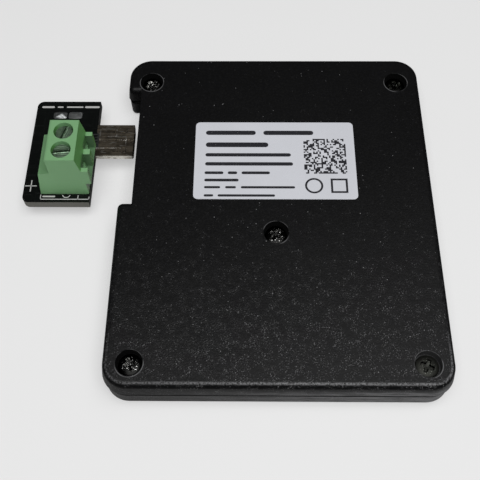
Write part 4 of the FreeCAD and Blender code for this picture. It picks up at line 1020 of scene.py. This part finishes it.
class BEACON_OT_inside(PieceMaker, bpy.types.Operator):
    """Finishes everything inside the case and the plug"""
    bl_idname = "beacon.finish_inside"
    bl_label = "Finish Inside"

    def execute(self, context):
        look = context.scene.beacon_inside
        board = board_finish("beacon_board", look.mask, (0.3, 0.27, 0.17), 4.0)
        bright = bare_metal("cell_steel", look.steel, tinted(look.steel, 0.8), 0.2, brush=(3.0, 0.4, 0.4))
        spring = bare_metal("spring_steel", tinted(look.steel, 0.9), tinted(look.steel, 0.6), 0.32)
        gold = bare_metal("contact_gold", look.gold, tinted(look.gold, 0.7), 0.22)
        tails = bare_metal("tail_tin", tinted(look.steel, 0.25), tinted(look.steel, 0.1), 0.4)
        tin = bare_metal("shield_tin", tinted(look.steel, 1.1), tinted(look.steel, 0.8), 0.36,
                         brush=(5.0, 0.4, 5.0))
        chip = moulded("chip_black", look.chip, 0.5, 6.0)
        insulator = moulded("insulator_black", tinted(look.chip, 0.8), 0.45, 5.0)
        ceramic = moulded("ceramic", look.ceramic, 0.3, 8.0, 0.008)
        finishes = {
            board: ("main_board", "radio_board"),
            bright: ("coin_cell",),
            spring: ("cell_clip", "cell_contact", "usb_socket_shell"),
            gold: ("usb_socket_contacts", "terminal_contacts"),
            tails: ("plug_contacts",),
            tin: ("radio_shield", "crystal"),
            chip: ("radio_chip", "sensor_chip", "regulator", "tact_switch", "switch_stem"),
            insulator: ("usb_socket_tongue", "plug_insulator"),
            ceramic: ("board_passives", "radio_antenna"),
        }
        for material, nodes in finishes.items():
            for node in nodes:
                coloured_node(node, material)
        return {"FINISHED"}


# Stage

CAMERA_PLACE = (-4.637, -66.19, 115.16)
CAMERA_DOWN = math.radians(61.27)
CAMERA_ROLL = math.radians(-0.9324)
CAMERA_TURN = math.radians(-1.261)
SENSOR_WIDTH = 36.0
CLIP = (0.001, 10.0)
KEY_PLACE, KEY_SIDE = (15, -100, 360), 320
FILL_PLACE, FILL_SIDE = (150, 50, 380), 160
FLOOR_REACH = 900.0
FLOOR_CELLS = 12
FLOOR_GAP = 0.02


def camera_matrix():
    """The photograph's view: turned about Z, tipped down, then rolled."""
    level_reach = math.cos(CAMERA_DOWN)
    forward = Vector((math.sin(CAMERA_TURN) * level_reach, math.cos(CAMERA_TURN) * level_reach,
                      -math.sin(CAMERA_DOWN)))
    level = Vector((math.cos(CAMERA_TURN), -math.sin(CAMERA_TURN), 0))
    upward = level.cross(forward)
    right = level * math.cos(CAMERA_ROLL) + upward * math.sin(CAMERA_ROLL)
    top = upward * math.cos(CAMERA_ROLL) - level * math.sin(CAMERA_ROLL)
    turned = Matrix((right, top, -forward)).transposed().to_4x4()
    return Matrix.Translation(Vector(CAMERA_PLACE) * MM) @ turned


def add_soft_box(name, place, side, power):
    """A square lamp aimed at the middle of the object."""
    lamp = bpy.data.lights.new(name, "AREA")
    lamp.shape = "RECTANGLE"
    lamp.size = lamp.size_y = side * MM
    lamp.energy = power
    made = bpy.data.objects.new(name, lamp)
    bpy.context.scene.collection.objects.link(made)
    made.location = Vector(place) * MM
    made.rotation_euler = (-Vector(place)).to_track_quat("-Z", "Y").to_euler()


def floor_paper(look):
    """Pale paper that a glossy surface sees darker as a painted dark reflection, with painted shade under
    the case and darker away from the object.
    """
    paper = Finish("floor_paper", Specular_IOR_Level=0.0, Roughness=0.9)
    tone = paper.blend(paper.noise(0.02, 2.0), tinted(look.floor, 0.99), tinted(look.floor, 1.01))
    paper.feed("Base Color", tone)
    mirrored = paper.node("ShaderNodeLightPath", output="Is Glossy Ray")
    from_case = paper.from_outline(*CASE_FOOT)
    away = from_case.least(paper.from_panel(*ADAPTER_FOOT))
    # Painted shade in the floor's reflection under the case
    under = 1 - from_case.between(-1.5, -0.2)
    dark = paper.node("ShaderNodeEmission", None, {"Color": (0.02, 0.02, 0.02, 1.0)})
    paper.cover_with(dark, mirrored * (0.35 + away.between(0.0, 14.0) * 0.6 + under * 0.6))
    seen = paper.node("ShaderNodeLightPath", output="Is Camera Ray") * look.evenness
    flat = paper.node("ShaderNodeEmission", None, {"Color": (*look.floor, 1.0)})
    paper.cover_with(flat, seen)
    return paper.material


def make_floor(look):
    """A wide sheet that keeps the object's shadow."""
    mesh = bmesh.new()
    bmesh.ops.create_grid(mesh, x_segments=FLOOR_CELLS, y_segments=FLOOR_CELLS, size=FLOOR_REACH * MM)
    data = bpy.data.meshes.new("floor")
    mesh.to_mesh(data)
    mesh.free()
    data.materials.append(floor_paper(look))
    floor = bpy.data.objects.new("floor", data)
    bpy.context.scene.collection.objects.link(floor)
    floor.location.z = (low("front_shell").z - FLOOR_GAP) * MM


def make_world(look):
    """Even light, with the floor's own tone where the camera sees past the floor."""
    world = bpy.data.worlds.new("studio")
    bpy.context.scene.world = world
    world.use_nodes = True
    world.node_tree.nodes.clear()
    sky = NodeMaker(world.node_tree)
    seen = sky.node("ShaderNodeLightPath", output="Is Camera Ray")
    plain = sky.node("ShaderNodeBackground", None, {"Strength": look.world})
    shown = sky.node("ShaderNodeBackground", None, {"Color": (*look.floor, 1.0)})
    mixed = sky.node("ShaderNodeMixShader", None, {0: seen, 1: plain, 2: shown})
    sky.node("ShaderNodeOutputWorld", None, {"Surface": mixed})


def make_camera(look):
    """The camera of the photograph's view."""
    lens = bpy.data.cameras.new("camera")
    lens.lens, lens.sensor_width = look.lens, SENSOR_WIDTH
    lens.clip_start, lens.clip_end = CLIP
    camera = bpy.data.objects.new("camera", lens)
    bpy.context.scene.collection.objects.link(camera)
    camera.matrix_world = camera_matrix()
    bpy.context.scene.camera = camera


class BEACON_OT_stage(PieceMaker, bpy.types.Operator):
    """Makes the floor, the soft light and the camera of the photograph's view"""
    bl_idname = "beacon.make_stage"
    bl_label = "Make Stage"

    def execute(self, context):
        look = context.scene.beacon_stage
        make_floor(look)
        make_world(look)
        add_soft_box("key_light", KEY_PLACE, KEY_SIDE, look.key)
        add_soft_box("fill_light", FILL_PLACE, FILL_SIDE, look.fill)
        make_camera(look)
        context.scene.view_settings.view_transform = "Standard"
        return {"FINISHED"}


# Panel and registration

LOOKS = {
    "beacon_case": BEACON_PG_case,
    "beacon_label": BEACON_PG_label,
    "beacon_adapter": BEACON_PG_adapter,
    "beacon_inside": BEACON_PG_inside,
    "beacon_stage": BEACON_PG_stage,
}
MAKERS = (BEACON_OT_stage, BEACON_OT_case, BEACON_OT_case_screws, BEACON_OT_label, BEACON_OT_adapter,
          BEACON_OT_inside)


class BEACON_PT_panel(bpy.types.Panel):
    """Lists what the object is made of, with its sizes and colours"""
    bl_idname = "BEACON_PT_panel"
    bl_label = "Sensor Beacon"
    bl_space_type = "VIEW_3D"
    bl_region_type = "UI"
    bl_category = "Beacon"

    def draw(self, context):
        for maker in MAKERS:
            self.layout.operator(maker.bl_idname)
        for name, group in LOOKS.items():
            box = self.layout.box()
            for value in group.__annotations__:
                box.prop(getattr(context.scene, name), value)


def register():
    for kind in (*LOOKS.values(), *MAKERS, BEACON_PT_panel):
        bpy.utils.register_class(kind)
    for name, group in LOOKS.items():
        setattr(bpy.types.Scene, name, PointerProperty(type=group))


def unregister():
    for name in LOOKS:
        delattr(bpy.types.Scene, name)
    for kind in (BEACON_PT_panel, *reversed(MAKERS), *reversed(LOOKS.values())):
        bpy.utils.unregister_class(kind)


def main():
    register()
    for maker in MAKERS:
        group, name = maker.bl_idname.split(".")
        getattr(getattr(bpy.ops, group), name)()


if __name__ == "__main__":
    main()
